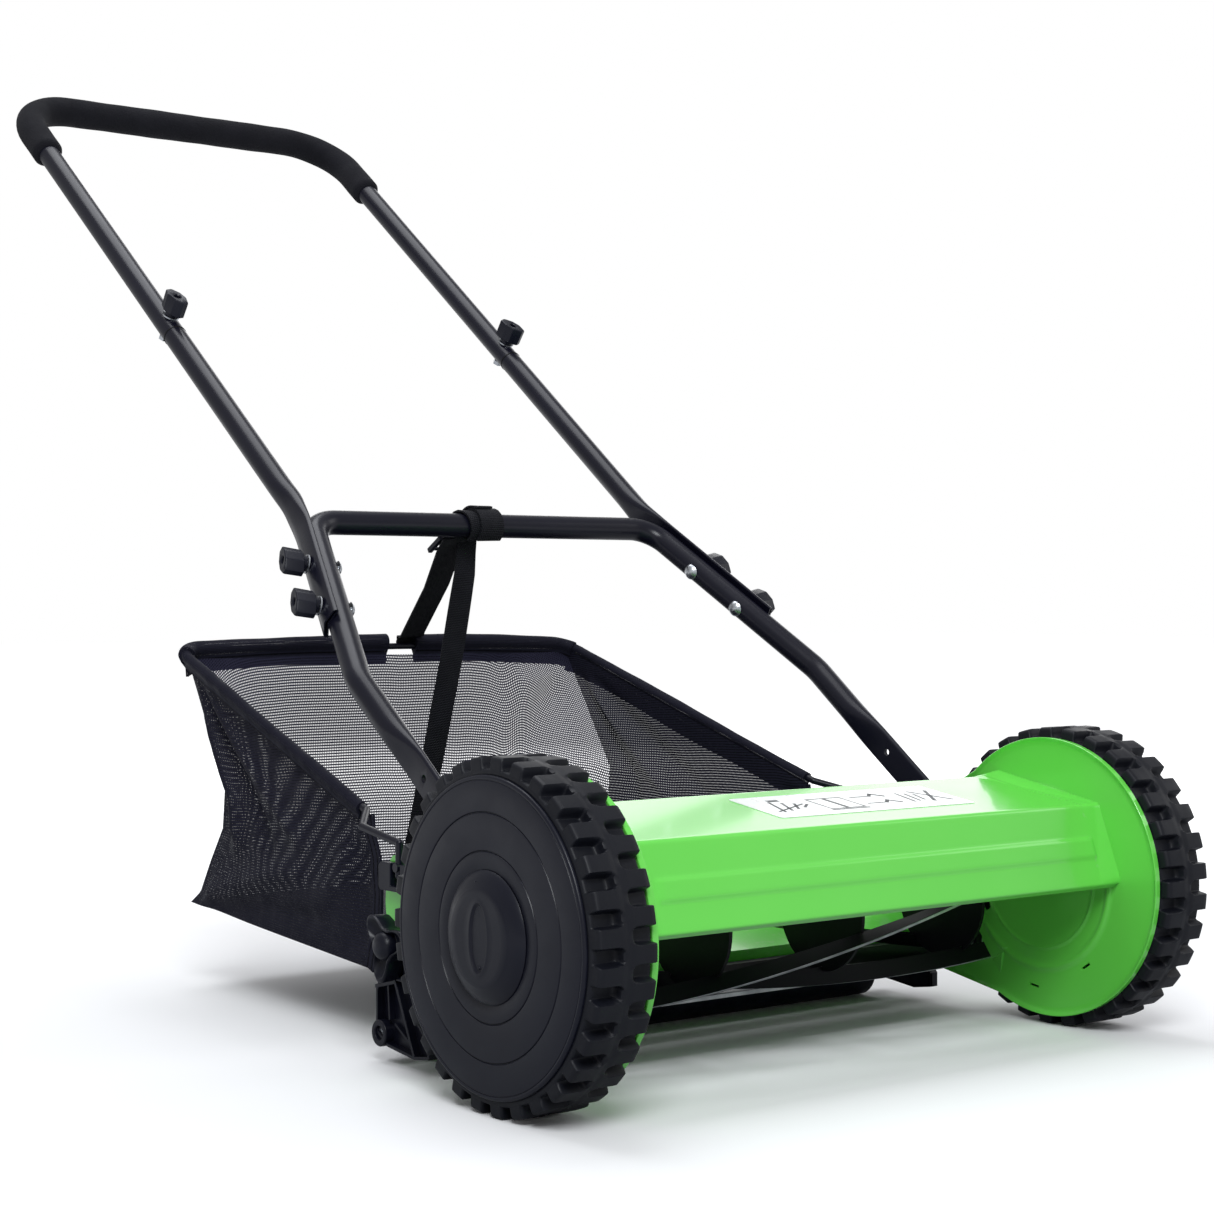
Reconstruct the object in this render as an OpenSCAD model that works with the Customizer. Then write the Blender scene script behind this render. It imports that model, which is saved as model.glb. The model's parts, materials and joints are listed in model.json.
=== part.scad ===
// Push reel mower with a grass catcher. The ground is z = 0, the wheel axle runs along X above the
// origin, and the machine is pushed towards -Y, so the handle and the catcher are on the +Y side.
// Right and left are the operator's: right is -X.

/* [Wheels] */
// Diameter of the ground wheels over the lugs
wheel_d = 240; // [238:1:244]
// Width of a tyre
tyre_w = 48; // [46:1:50]
// Lugs in each of a tyre's two rows
lug_count = 31; // [24:1:36]
// Height of the lugs
lug_depth = 6; // [4:0.5:8]

/* [Deck] */
// Distance between the inner faces of the side plates
deck_w = 495; // [494:1:500]
// Thickness of the side plates
plate_t = 2.5; // [2:0.5:3]
// Radius of the round part of a side plate
plate_r = 112; // [110:1:114]
// Thickness of the folded cover
cover_t = 1.8; // [1.2:0.2:2.4]

/* [Reel] */
// Diameter that the blades sweep
reel_d = 116; // [110:1:116]
// Length of the blades
reel_len = 444; // [430:2:444]
// Number of helical blades
blade_count = 5; // [4:1:6]
// Turn of a blade from one end to the other, in degrees
blade_twist = 102; // [80:1:120]
// Teeth of the ring gear in a wheel
ring_teeth = 90; // [90:1:90]
// Teeth of the reel's pinion
pinion_teeth = 15; // [15:1:15]

/* [Handle] */
// Slope of the handle, in degrees
handle_slope = 37; // [34:1:40]
// Outside diameter of the tubes
tube_d = 21; // [20:0.5:21]
// Wall of the tubes
tube_wall = 1.2; // [1:0.1:1.6]
// Outside diameter of the foam grip
grip_d = 30; // [26:1:32]
// Distance along the slope from the pivot to the grip bar
handle_len = 1159.5; // [1100:1:1200]

/* [Catcher] */
// Height of the bag's floor at its front edge
bag_floor = 58; // [50:1:70]
// Thickness of the bag's walls
bag_wall = 3; // [2:0.5:4]

/* [Hidden] */
$fn = 48;
wheel_r = wheel_d / 2;
carcass_r = wheel_r - lug_depth;
tyre_bore_r = 104;
disc_edge_r = 107.7;
plate_in = deck_w / 2;
plate_out = plate_in + plate_t;
tyre_in = plate_out + 0.8;
tyre_out = tyre_in + tyre_w;
disc_face = tyre_out + 2.8;
hub_in = plate_out + 4;
stud_r = 8;
run_gap = 0.05;                       // radial clearance of the running fits
swell = 0.1;                          // how much a bend is thicker than its tube
lap = 1;                              // how far a bend laps over a straight run, in degrees

gear_module = 2;
ring_pitch_r = gear_module * ring_teeth / 2;
pinion_pitch_r = gear_module * pinion_teeth / 2;
gear_offset = ring_pitch_r - pinion_pitch_r;
reel_drop = asin(0.28);               // the reel lies this far below the axle's level, seen from it
reel_y = gear_offset * cos(reel_drop);
reel_z = wheel_r - gear_offset * sin(reel_drop);
reel_r = reel_d / 2;
blade_w = 14;
blade_phase = 213.4;                  // angle of the first blade at mid length
shaft_r = 6;
gear_in = plate_out + 12;
gear_w = 16;

pivot_y = 104;
pivot_z = 160.2;
tube_r = tube_d / 2;
upper_x = 188.5;                      // the upper legs run at this distance from the middle
crossbar_s = 412;                     // distances with _s are along the slope from the pivot
lower_bend_s = 200;
lower_x = 237.3;
flare = 15;                           // the lower legs flare outwards by this angle
seam_s = 706;
seam_bolt_s = 724;
clamp_s = [292, 348];
flat_t = 4.4;
flat_w = 28;
flat_off = tube_r + 0.2 + flat_t / 2;
bolt_r = 3;

roller_y = 199.4;
roller_r = 22;
roller_z = roller_r;
height_y = 173;
height_z = 91;
height_travel = 20;
arm_t = 9;

hook_y = 182;
hook_z = 146;
hook_x = plate_out + 4;
bag_front = 262;
bag_rear = 606;
rim_front_z = 181;
rim_rear_z = 298;
wire_r = 3;

green = [0.42, 0.86, 0.32];
black = [0.13, 0.14, 0.16];
zinc = [0.75, 0.76, 0.78];

// ---- helpers ----

// Draws the children on the left (+X) side for side = 1 and mirrored on the right for side = -1
module on_side(side) {
    if (side > 0) children();
    else mirror([1, 0, 0]) children();
}

module both_sides() {
    on_side(1) children();
    on_side(-1) children();
}

// Extrudes a (Y, Z) outline from x0 to x1
module extrude_x(x0, x1) {
    translate([x0, 0, 0]) rotate([90, 0, 90]) linear_extrude(x1 - x0) children();
}

// Cylinder along X about the point (y, z)
module bar_x(x0, x1, y, z, r) {
    translate([x0, y, z]) rotate([0, 90, 0]) cylinder(h = x1 - x0, r = r);
}

module tube_x(x0, x1, y, z, r_in, r_out) {
    difference() {
        bar_x(x0, x1, y, z, r_out);
        bar_x(x0 - 1, x1 + 1, y, z, r_in);
    }
}

// Turns an (r, x) outline about the wheel axle
module turned(points) {
    translate([0, 0, wheel_r]) rotate([0, 90, 0]) rotate_extrude($fn = 96) polygon(points);
}

function unit(v) = v / norm(v);
function left_of(v) = [-v[1], v[0]];

// The outline of a folded sheet: the fold line and its parallel at distance t, mitred at each fold
function sheet_side(p, t) = [
    for (i = [0 : len(p) - 1])
        let (before = unit(p[max(i, 1)] - p[max(i, 1) - 1]),
             after = unit(p[min(i + 1, len(p) - 1)] - p[min(i, len(p) - 2)]),
             n1 = left_of(before), n2 = left_of(after))
        p[i] + t * (n1 + n2) / (1 + n1 * n2)
];
module sheet(p, t) {
    side = sheet_side(p, t);
    polygon(concat(p, [for (i = [len(p) - 1 : -1 : 0]) side[i]]));
}

// A round rod from a to b, with a slightly larger ball at b
module rod(a, b, r) {
    d = b - a;
    translate(a) rotate([0, acos(d[2] / norm(d)), atan2(d[1], d[0])]) cylinder(h = norm(d), r = r, $fn = 24);
    translate(b) sphere(r = r + swell, $fn = 24);
}

// A round bar bent in the XY plane along the points p, with bend radius bend. The bends are
// slightly swollen and lap over the straight runs, as drawn tube is.
module bent_bar(p, bend, r) {
    n = len(p);
    function turn(i) =
        let (d1 = unit(p[i] - p[i - 1]), d2 = unit(p[i + 1] - p[i])) atan2(d1[0] * d2[1] - d1[1] * d2[0], d1 * d2);
    function cut(i) = (i == 0 || i == n - 1) ? 0 : bend * tan(abs(turn(i)) / 2);
    for (i = [0 : n - 2]) {
        d = unit(p[i + 1] - p[i]);
        a = p[i] + d * cut(i);
        b = p[i + 1] - d * cut(i + 1);
        translate([a[0], a[1], 0]) rotate([0, 0, atan2(d[1], d[0])]) rotate([0, 90, 0]) cylinder(h = norm(b - a), r = r);
    }
    for (i = [1 : n - 2]) {
        d = unit(p[i] - p[i - 1]);
        way = sign(turn(i));
        c = p[i] - d * cut(i) + way * bend * left_of(d);
        start = atan2(d[1], d[0]) - 90 * way;
        translate([c[0], c[1], 0])
            rotate([0, 0, way > 0 ? start : start - abs(turn(i))])
                rotate([0, 0, -lap]) rotate_extrude(angle = abs(turn(i)) + 2 * lap)
                    translate([bend, 0]) circle(r = r + swell);
    }
}

module bent_tube(p, bend, r_out, r_in) {
    difference() {
        bent_bar(p, bend, r_out);
        bent_bar(concat([p[0] + unit(p[0] - p[1])], [for (i = [1 : len(p) - 2]) p[i]],
                        [p[len(p) - 1] + unit(p[len(p) - 1] - p[len(p) - 2])]), bend, r_in);
    }
}

// The handle's own frame: X across, Y up the slope from the pivot, Z out of the top of the tubes
module in_handle() {
    translate([0, pivot_y, pivot_z]) rotate([handle_slope, 0, 0]) children();
}

// Distance of the lower leg's axis from the middle, at s along the slope
function leg_x(s) = lower_x + 1.5 - tan(flare) * (s - lower_bend_s);

// Frame on the lower leg at s: X outwards across the leg, Y up along it
module on_leg(s) {
    translate([leg_x(s), s, 0]) rotate([0, 0, flare]) children();
}

// ---- deck ----

hanger_holes = [[167, 134], [197, 137]];
cover_rear = [54.3, 198.3];
cover_fold = [-52.8, 182.4];
cover_low = [-73.7, 121.6];
cover_screws = [[30, 188], [-40, 176], [-59, 140]];
tie_rod = [-46, 158];
tie_rod_r = 5;

module plate_outline() {
    translate([0, wheel_r]) circle(r = plate_r, $fn = 96);
    polygon([
        [30, 226], [98, 190], [124, 174], [198, 153], [206, 144], [208, 116], [206, 104], [195, 80],
        [195, 65], [187, 58], [140, 36], [40, 18]
    ]);
}

module side_plate(side) {
    color(green) on_side(side) difference() {
        union() {
            extrude_x(plate_in, plate_out) plate_outline();
            // rolled rim, raised ring and adjuster lug
            extrude_x(plate_in - 2.5, plate_in) translate([0, wheel_r]) difference() {
                circle(r = plate_r, $fn = 96);
                circle(r = plate_r - 2.5, $fn = 96);
                translate([0, -plate_r - 1]) square([2 * plate_r, 2 * plate_r + 2]);
            }
            extrude_x(plate_in - 1.2, plate_in) translate([9, wheel_r - 2]) difference() {
                circle(r = 74, $fn = 96);
                circle(r = 70.5, $fn = 96);
                translate([30, -80]) square([60, 160]);
                // the cover's flange lies flat on the plate here
                polygon([[55, 90], [-70, 70], [-95, 0], [-58, 0], [-38, 42], [42, 52]]);
            }
            translate([plate_in - 9, 117, 70]) cube([9.5, 10, 8]);
        }
        bar_x(plate_in - 10, plate_out + 1, 0, wheel_r, stud_r);
        bar_x(plate_in - 10, plate_out + 1, reel_y, reel_z, 15);
        bar_x(plate_in - 10, plate_out + 1, pivot_y, pivot_z, 4);
        bar_x(plate_in - 10, plate_out + 1, 78, 59, 4);
        bar_x(plate_in - 10, plate_out + 1, height_y, height_z, 4);
        translate([plate_in - 4.5, 122, 60]) cylinder(h = 30, r = 2.5);
        for (p = cover_screws) bar_x(plate_in - 1, plate_out + 1, p[0], p[1], 2.5);
        for (p = hanger_holes) bar_x(plate_in - 1, plate_out + 1, p[0], p[1], 2.5);
        // two short slots near the lower edge
        translate([plate_in - 1, 14, 30]) rotate([8, 0, 0]) translate([0, -5, -1]) cube([plate_t + 2, 10, 2]);
        translate([plate_in - 1, -40, 52]) rotate([-34, 0, 0]) translate([0, -5, -1]) cube([plate_t + 2, 10, 2]);
    }
}
module side_plate_right() { side_plate(-1); }
module side_plate_left() { side_plate(1); }

module cover() {
    end = plate_in - 0.02;
    profile = [[62, 190], cover_rear, cover_fold, cover_low, [-68, 118]];
    color(green) {
        extrude_x(-end, end) sheet(profile, cover_t);
        // end flanges, screwed to the side plates
        both_sides() difference() {
            extrude_x(end - cover_t, end)
                polygon([[53, 196], [-52.1, 180.2], [-72, 122.4], [-56, 126], [-38, 166], [50, 178]]);
            for (p = cover_screws) bar_x(end - 4, end + 1, p[0], p[1], 2.5);
            bar_x(end - 4, end + 1, tie_rod[0], tie_rod[1], tie_rod_r);
        }
    }
}

module cover_label() {
    // printed plate on the top face, which rises to the rear
    rise = atan2(cover_rear[1] - cover_fold[1], cover_rear[0] - cover_fold[0]);
    color("white") translate([0, cover_fold[0], cover_fold[1]]) rotate([rise, 0, 0])
        translate([-61, 29, 0.02]) cube([200, 61, 0.4]);
}

module rear_apron() {
    end = plate_in - 0.02;
    color(green) {
        extrude_x(-end, end) sheet([[194, 69], [187, 77], [132.5, 64], [132.5, 47]], 1.6);
    }
}

module front_tie_rod() {
    color(zinc) bar_x(-plate_in + 0.02, plate_in - 0.02, tie_rod[0], tie_rod[1], tie_rod_r);
}

module axle_studs() {
    color(zinc) both_sides() {
        bar_x(plate_in - 3.5, disc_face + 3, 0, wheel_r, stud_r);
        bar_x(plate_in - 3.5, plate_in, 0, wheel_r, 14);
        bar_x(plate_out, plate_out + 3, 0, wheel_r, 18);
    }
}

module stud_clips() {
    color(zinc) both_sides() tube_x(disc_face + 0.4, disc_face + 1.8, 0, wheel_r, stud_r, 12);
}

module reel_bearings() {
    color(zinc) both_sides() {
        tube_x(plate_in, plate_out + 6, reel_y, reel_z, shaft_r + run_gap, 15);
        tube_x(plate_out, plate_out + 3, reel_y, reel_z, 15, 19);
    }
}

module deck_screws() {
    color(zinc) both_sides() {
        for (p = cover_screws) {
            bar_x(plate_in - 4.5, plate_out, p[0], p[1], 2.5);
            bar_x(plate_in - 4.5, plate_in - 2, p[0], p[1], 4.5);
        }
        for (p = hanger_holes) {
            bar_x(plate_in - 2.5, plate_out + 6, p[0], p[1], 2.5);
            bar_x(plate_in - 2.5, plate_in, p[0], p[1], 5);
        }
    }
}

module handle_pivots() {
    color(zinc) both_sides() {
        bar_x(lower_x - 6, plate_out, pivot_y, pivot_z, 4);
        bar_x(lower_x - 6.5, lower_x - 3.2, pivot_y, pivot_z, 7);
        tube_x(lower_x + 3.2, plate_in, pivot_y, pivot_z, 4, 8);
    }
}

module bedknife_pivots() {
    color(zinc) both_sides() {
        bar_x(plate_in - 13, plate_out, 78, 59, 4);
        bar_x(plate_in - 14, plate_in - 10, 78, 59, 6.5);
        tube_x(plate_in - 3.2, plate_in, 78, 59, 4, 7);
    }
}

module bedknife_adjusters() {
    color(zinc) both_sides() {
        translate([plate_in - 4.5, 122, 64.6]) cylinder(h = 22.4, r = 2.5);
        translate([plate_in - 4.5, 122, 87]) cylinder(h = 4, r = 4.5, $fn = 6);
    }
}

module catcher_hangers() {
    color(black) both_sides() difference() {
        extrude_x(plate_out, plate_out + 8)
            polygon([[160, 128], [203, 128], [205, 131], [205, 146], [202, 149], [163, 149], [160, 146]]);
        // open slot that the catcher's hook drops into
        translate([plate_out - 1, hook_y - 6.5, 132]) cube([12, 13, 30]);
        for (p = hanger_holes) bar_x(plate_out - 1, plate_out + 6, p[0], p[1], 2.5);
    }
}

// ---- bedknife ----

knife_top = 41.9;
module bedknife_bar() {
    ear_in = plate_in - 9.7;
    ear_out = plate_in - 3.5;
    color(black) {
        extrude_x(-ear_in, ear_in)
            polygon([[98, knife_top], [118, 56.5], [128, 56.5], [128, 53.8], [119, 53.8], [110, 47.3], [110, knife_top]]);
        both_sides() difference() {
            extrude_x(ear_in, ear_out)
                polygon([[68, 64], [72, 69], [86, 69], [128, 63], [128, 39], [96, 39], [70, 50]]);
            bar_x(ear_in - 1, ear_out + 1, 78, 59, 4 + run_gap);
        }
        // lower tabs for the blade's rivets
        for (x = [-180, -60, 60, 180]) translate([x - 12, 99, knife_top - 7]) cube([24, 13, 3.9]);
    }
}

module bedknife_blade() {
    color(zinc) difference() {
        translate([-plate_in + 9.7, 84, knife_top - 3]) cube([deck_w - 19.4, 27, 3]);
        for (x = [-180, -60, 60, 180]) translate([x, 105, knife_top - 8]) cylinder(h = 12, r = 2);
    }
}

module bedknife_rivets() {
    color(zinc) for (x = [-180, -60, 60, 180]) {
        translate([x, 105, knife_top - 3.05]) cylinder(h = 3.05, r = 2);
    }
}

// ---- reel ----

module reel_shaft() {
    slot = 3.2;
    color(zinc) difference() {
        bar_x(-gear_in - gear_w - 6, gear_in + gear_w + 6, reel_y, reel_z, shaft_r);
        for (s = [-1, 1]) translate([s * (gear_in + gear_w / 2), reel_y, reel_z])
            cube([slot, slot, 20], center = true);
    }
}

// A stamped disc, notched where the blades cross it
module spider_outline() {
    difference() {
        circle(r = reel_r - blade_w + 3);
        circle(r = shaft_r);
        for (i = [0 : blade_count - 1]) rotate(i * 360 / blade_count)
            translate([reel_r - blade_w - 0.4, -2.4]) square([6, 4.8]);
    }
}

module reel_spiders() {
    color(black) for (x = [-200, -67, 67, 200])
        extrude_x(x - 1.5, x + 1.5) translate([reel_y, reel_z])
            rotate(blade_phase - blade_twist * x / reel_len) spider_outline();
}

module reel_blades() {
    color(black) for (i = [0 : blade_count - 1])
        translate([-reel_len / 2, reel_y, reel_z]) rotate([90, 0, 90])
            linear_extrude(reel_len, twist = blade_twist, slices = 32, segments = 4)
                rotate(blade_phase + blade_twist / 2 + i * 360 / blade_count)
                    translate([reel_r - blade_w, -1.3]) square([blade_w, 2.6]);
}

// ---- drive ----

// Outline of n straight-sided teeth from r_root to r_tip, given as shares of the pitch
function teeth(n, r_root, r_tip, w_root, w_tip, phase) = [
    for (i = [0 : n - 1]) for (c = [[-w_root, r_root], [-w_tip, r_tip], [w_tip, r_tip], [w_root, r_root]])
        let (a = phase + (i + c[0]) * 360 / n) [c[1] * cos(a), c[1] * sin(a)]
];

module drive_pinions() {
    color(zinc) both_sides() extrude_x(gear_in, gear_in + gear_w) translate([reel_y, reel_z]) difference() {
        polygon(teeth(pinion_teeth, pinion_pitch_r - 2.4, pinion_pitch_r + 1.5, 0.3, 0.1, -reel_drop));
        circle(r = shaft_r + 0.02);
    }
}

module drive_pawls() {
    color(zinc) for (s = [-1, 1])
        translate([s * (gear_in + gear_w / 2), reel_y, reel_z]) cube([3, 3, 10.8], center = true);
}

module pinion_clips() {
    color(zinc) both_sides()
        tube_x(gear_in + gear_w + 0.5, gear_in + gear_w + 2, reel_y, reel_z, shaft_r, 10);
}

// ---- wheels ----

function lug_ring(phase) = [
    for (i = [0 : lug_count - 1])
        for (c = [[-0.36, carcass_r - 1], [-0.25, wheel_r], [0, wheel_r], [0.25, wheel_r], [0.36, carcass_r - 1]])
            let (a = phase + (i + c[0]) * 360 / lug_count) [c[1] * cos(a), c[1] * sin(a)]
];

module tyre(side) {
    row_w = tyre_w * 0.46;
    color(black) on_side(side) translate([0, 0, wheel_r]) difference() {
        union() {
            extrude_x(tyre_in, tyre_out) circle(r = carcass_r, $fn = 96);
            extrude_x(tyre_in, tyre_in + row_w) polygon(lug_ring(-90));
            extrude_x(tyre_out - row_w, tyre_out) polygon(lug_ring(-90 + 180 / lug_count));
        }
        extrude_x(tyre_in - 1, tyre_out + 1) circle(r = tyre_bore_r, $fn = 96);
    }
}
module tyre_right() { tyre(-1); }
module tyre_left() { tyre(1); }

module wheel_disc(side) {
    web = disc_face - 5;
    rim_in = tyre_in + 2;
    ring_r = tyre_bore_r - 6;
    lip = tyre_out + 0.05;
    color(black) on_side(side) turned([
        [11, hub_in], [16, hub_in], [18, web], [ring_r, web], [ring_r, rim_in], [tyre_bore_r, rim_in],
        [tyre_bore_r, lip], [disc_edge_r, lip], [disc_edge_r, disc_face - 0.6], [disc_edge_r - 0.6, disc_face],
        [83.6, disc_face], [83.6, disc_face - 1], [81.6, disc_face - 1], [81.6, disc_face],
        [58, disc_face], [58, disc_face - 1], [56, disc_face - 1], [56, disc_face], [11, disc_face]
    ]);
}
module wheel_disc_right() { wheel_disc(-1); }
module wheel_disc_left() { wheel_disc(1); }

module ring_gear(side) {
    half_tooth = 180 / ring_teeth;
    color(black) on_side(side) translate([0, 0, wheel_r]) extrude_x(gear_in, gear_in + gear_w) difference() {
        circle(r = tyre_bore_r - 6, $fn = 96);
        polygon(teeth(ring_teeth, ring_pitch_r - 1.5, ring_pitch_r + 2.4, 0.4, 0.2, -reel_drop));
    }
}
module ring_gear_right() { ring_gear(-1); }
module ring_gear_left() { ring_gear(1); }

module wheel_bush(side) {
    color("ivory") on_side(side) tube_x(hub_in, disc_face - 0.6, 0, wheel_r, stud_r + run_gap, 11);
}
module wheel_bush_right() { wheel_bush(-1); }
module wheel_bush_left() { wheel_bush(1); }

module hub_cap(side) {
    base = disc_face + 0.02;
    color(black) on_side(side) turned([
        [0, base + 5], [29, base + 5], [34, base + 2.4], [36, base], [45, base], [44, base + 2],
        [37, base + 5.6], [33, base + 7], [0, base + 7]
    ]);
}
module hub_cap_right() { hub_cap(-1); }
module hub_cap_left() { hub_cap(1); }

// ---- roller and height adjustment ----

module roller_arms() {
    inner = plate_out + 0.4;
    color(black) both_sides() difference() {
        union() {
            extrude_x(inner, inner + arm_t) polygon([
                [134, 12], [154, 9], [190, 13], [206, 22], [206, 54], [197, 72], [192, 96], [187, 101],
                [162, 101], [156, 94], [156, 60], [150, 38], [134, 24]
            ]);
            bar_x(plate_in - 14, inner + arm_t + 2, roller_y, roller_z, 10);
        }
        bar_x(plate_in - 15, inner + arm_t + 3, roller_y, roller_z, 5);
        // height slot
        hull() for (z = [height_z - height_travel, height_z])
            bar_x(inner - 1, inner + arm_t + 1, height_y, z, 4.3);
    }
}

module roller_axle() {
    color(zinc) bar_x(-plate_out - 8, plate_out + 8, roller_y, roller_z, 5);
}

module roller() {
    half = 228;
    color(black) difference() {
        bar_x(-half, half, roller_y, roller_z, roller_r);
        bar_x(-half + 14, half - 14, roller_y, roller_z, roller_r - 3.5);
        bar_x(-half - 1, half + 1, roller_y, roller_z, 5 + run_gap);
    }
}

module height_bolts() {
    color(zinc) both_sides() {
        bar_x(plate_in - 4, plate_out + 26, height_y, height_z, 4);
        bar_x(plate_in - 4, plate_in, height_y, height_z, 8);
    }
}

// A two-winged knob along +Z from z = 0, on a stud of radius stud that enters it to depth
module wing_knob(stud, depth, height) {
    neck = 3;
    difference() {
        union() {
            cylinder(h = neck + 1, r = 6.5);
            translate([0, 0, neck]) linear_extrude(height - neck)
                polygon([[-13, -3], [-5, -7.5], [5, -7.5], [13, -3], [13, 3], [5, 7.5], [-5, 7.5], [-13, 3]]);
        }
        translate([0, 0, -1]) cylinder(h = depth + 1, r = stud + run_gap);
        translate([0, 0, height - 4]) cylinder(h = 5, r = 3.4);
    }
}

// Three broad lobes about a domed middle
module height_knob(side) {
    start = plate_out + 0.4 + arm_t + 0.4;
    color(black) on_side(side) translate([start, height_y, height_z]) rotate([0, 90, 0]) difference() {
        union() {
            cylinder(h = 15, r = 12);
            for (a = [13, 133, 253]) rotate(a) linear_extrude(15)
                polygon([[4, -11], [24, -6], [28, -3], [28, 3], [24, 6], [4, 11]]);
            cylinder(h = 17.5, r = 10);
            translate([0, 0, 17.5]) cylinder(h = 2.5, r1 = 10, r2 = 6);
        }
        translate([0, 0, -1]) cylinder(h = plate_out + 26 - start + 1.3, r = 4 + run_gap);
    }
}
module height_knob_right() { height_knob(-1); }
module height_knob_left() { height_knob(1); }

// ---- handle ----

module lower_frame() {
    path = [[-lower_x, 118], [-lower_x - 1.5, lower_bend_s], [-leg_x(crossbar_s), crossbar_s],
            [leg_x(crossbar_s), crossbar_s], [lower_x + 1.5, lower_bend_s], [lower_x, 118]];
    color(black) in_handle() difference() {
        union() {
            bent_tube(path, 26, tube_r, tube_r - tube_wall);
            // flattened ends, pierced for the pivot and for a second bolt
            both_sides() extrude_x(lower_x - 2.8, lower_x + 2.8) {
                polygon([[0, -13], [122, -13], [122, 13], [0, 13]]);
                circle(r = 13);
            }
        }
        both_sides() {
            bar_x(lower_x - 5, lower_x + 5, 0, 0, 4 + run_gap);
            bar_x(lower_x - 5, lower_x + 5, 85, 0, 3);
            for (s = clamp_s) on_leg(s) bar_x(-tube_r - 2, tube_r + 2, 0, 0, bolt_r);
        }
    }
}

// Outline of the flattened tube across its run: thickness along X, width along Y
module stadium(t, w) {
    square([t, w - t], center = true);
    for (s = [-1, 1]) translate([0, s * (w - t) / 2]) circle(r = t / 2, $fn = 32);
}

module mid_tube(side) {
    top_of_flat = 448;
    color(black) in_handle() on_side(side) difference() {
        union() {
            bent_tube([[upper_x, seam_s - 0.05], [upper_x, top_of_flat], [upper_x + 3.4, top_of_flat - 13]],
                      40, tube_r, tube_r - tube_wall);
            // spigot inside the upper handle
            translate([upper_x, seam_s - 12, 0]) rotate([-90, 0, 0]) difference() {
                cylinder(h = 52, r = tube_r - tube_wall - 0.1);
                translate([0, 0, -1]) cylinder(h = 54, r = tube_r - tube_wall - 1.4);
            }
            translate([upper_x, seam_s - 12, 0]) rotate([-90, 0, 0]) difference() {
                cylinder(h = 4, r = tube_r - 0.2);
                translate([0, 0, -1]) cylinder(h = 6, r = tube_r - tube_wall - 1.4);
            }
            on_leg(270) translate([flat_off, 0, 0]) rotate([-90, 0, 0]) linear_extrude(184) difference() {
                stadium(flat_t, flat_w);
                stadium(flat_t - 2 * tube_wall, flat_w - 2 * tube_wall);
            }
        }
        for (s = clamp_s) on_leg(s) bar_x(tube_r - 2, tube_r + 14, 0, 0, bolt_r);
        translate([upper_x, seam_bolt_s, -tube_r]) cylinder(h = tube_d, r = bolt_r);
    }
}
module mid_tube_right() { mid_tube(-1); }
module mid_tube_left() { mid_tube(1); }

grip_bend = 62;
module upper_handle() {
    path = [[-upper_x, seam_s], [-upper_x, handle_len], [upper_x, handle_len], [upper_x, seam_s]];
    color(black) in_handle() difference() {
        bent_tube(path, grip_bend, tube_r, tube_r - tube_wall);
        both_sides() translate([upper_x, seam_bolt_s, -tube_r - 1]) cylinder(h = tube_d + 2, r = bolt_r);
    }
}

module foam_grip() {
    start = handle_len - 108;
    path = [[-upper_x, start], [-upper_x, handle_len], [upper_x, handle_len], [upper_x, start]];
    color([0.17, 0.18, 0.2]) in_handle() bent_tube(path, grip_bend, grip_d / 2, tube_r + 0.02);
}

module clamp_bolts() {
    color(zinc) in_handle() both_sides() for (s = clamp_s) on_leg(s) {
        bar_x(-tube_r - 0.5, flat_off + flat_t / 2 + 15, 0, 0, bolt_r);
        translate([-tube_r - 0.4, 0, 0]) rotate([0, -90, 0]) intersection() {
            cylinder(h = 5, r = 7);
            translate([0, 0, -4.4]) sphere(r = 8.3);
        }
    }
}

module seam_bolts() {
    color(zinc) in_handle() both_sides() translate([upper_x, seam_bolt_s, 0]) {
        translate([0, 0, -tube_r - 1]) cylinder(h = tube_d + 15, r = bolt_r);
        translate([0, 0, -tube_r - 4]) cylinder(h = 3.9, r = 5, $fn = 6);
    }
}

module knob_washers() {
    flat_face = flat_off + flat_t / 2;
    color(zinc) in_handle() both_sides() {
        for (s = clamp_s) on_leg(s) tube_x(flat_face + 0.02, flat_face + 1.2, 0, 0, bolt_r, 8);
        translate([upper_x, seam_bolt_s, tube_r + 0.02]) difference() {
            cylinder(h = 1.2, r = 8);
            translate([0, 0, -1]) cylinder(h = 4, r = bolt_r);
        }
    }
}

module clamp_knob(side, s) {
    start = flat_off + flat_t / 2 + 1.6;
    color(black) in_handle() on_side(side) on_leg(s)
        translate([start, 0, 0]) rotate([0, 90, 0]) rotate(102) wing_knob(bolt_r, 14, 20);
}
module clamp_knob_upper_right() { clamp_knob(-1, clamp_s[1]); }
module clamp_knob_upper_left() { clamp_knob(1, clamp_s[1]); }
module clamp_knob_lower_right() { clamp_knob(-1, clamp_s[0]); }
module clamp_knob_lower_left() { clamp_knob(1, clamp_s[0]); }

module seam_knob(side, turn) {
    color(black) in_handle() on_side(side)
        translate([upper_x, seam_bolt_s, tube_r + 1.6]) rotate(turn) wing_knob(bolt_r, 14, 20);
}
module seam_knob_right() { seam_knob(-1, 72); }
module seam_knob_left() { seam_knob(1, 123); }

// ---- catcher ----

rim_rise = atan2(rim_rear_z - rim_front_z, bag_rear - bag_front);
rim_len = norm([bag_rear - bag_front, rim_rear_z - rim_front_z]);

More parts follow.
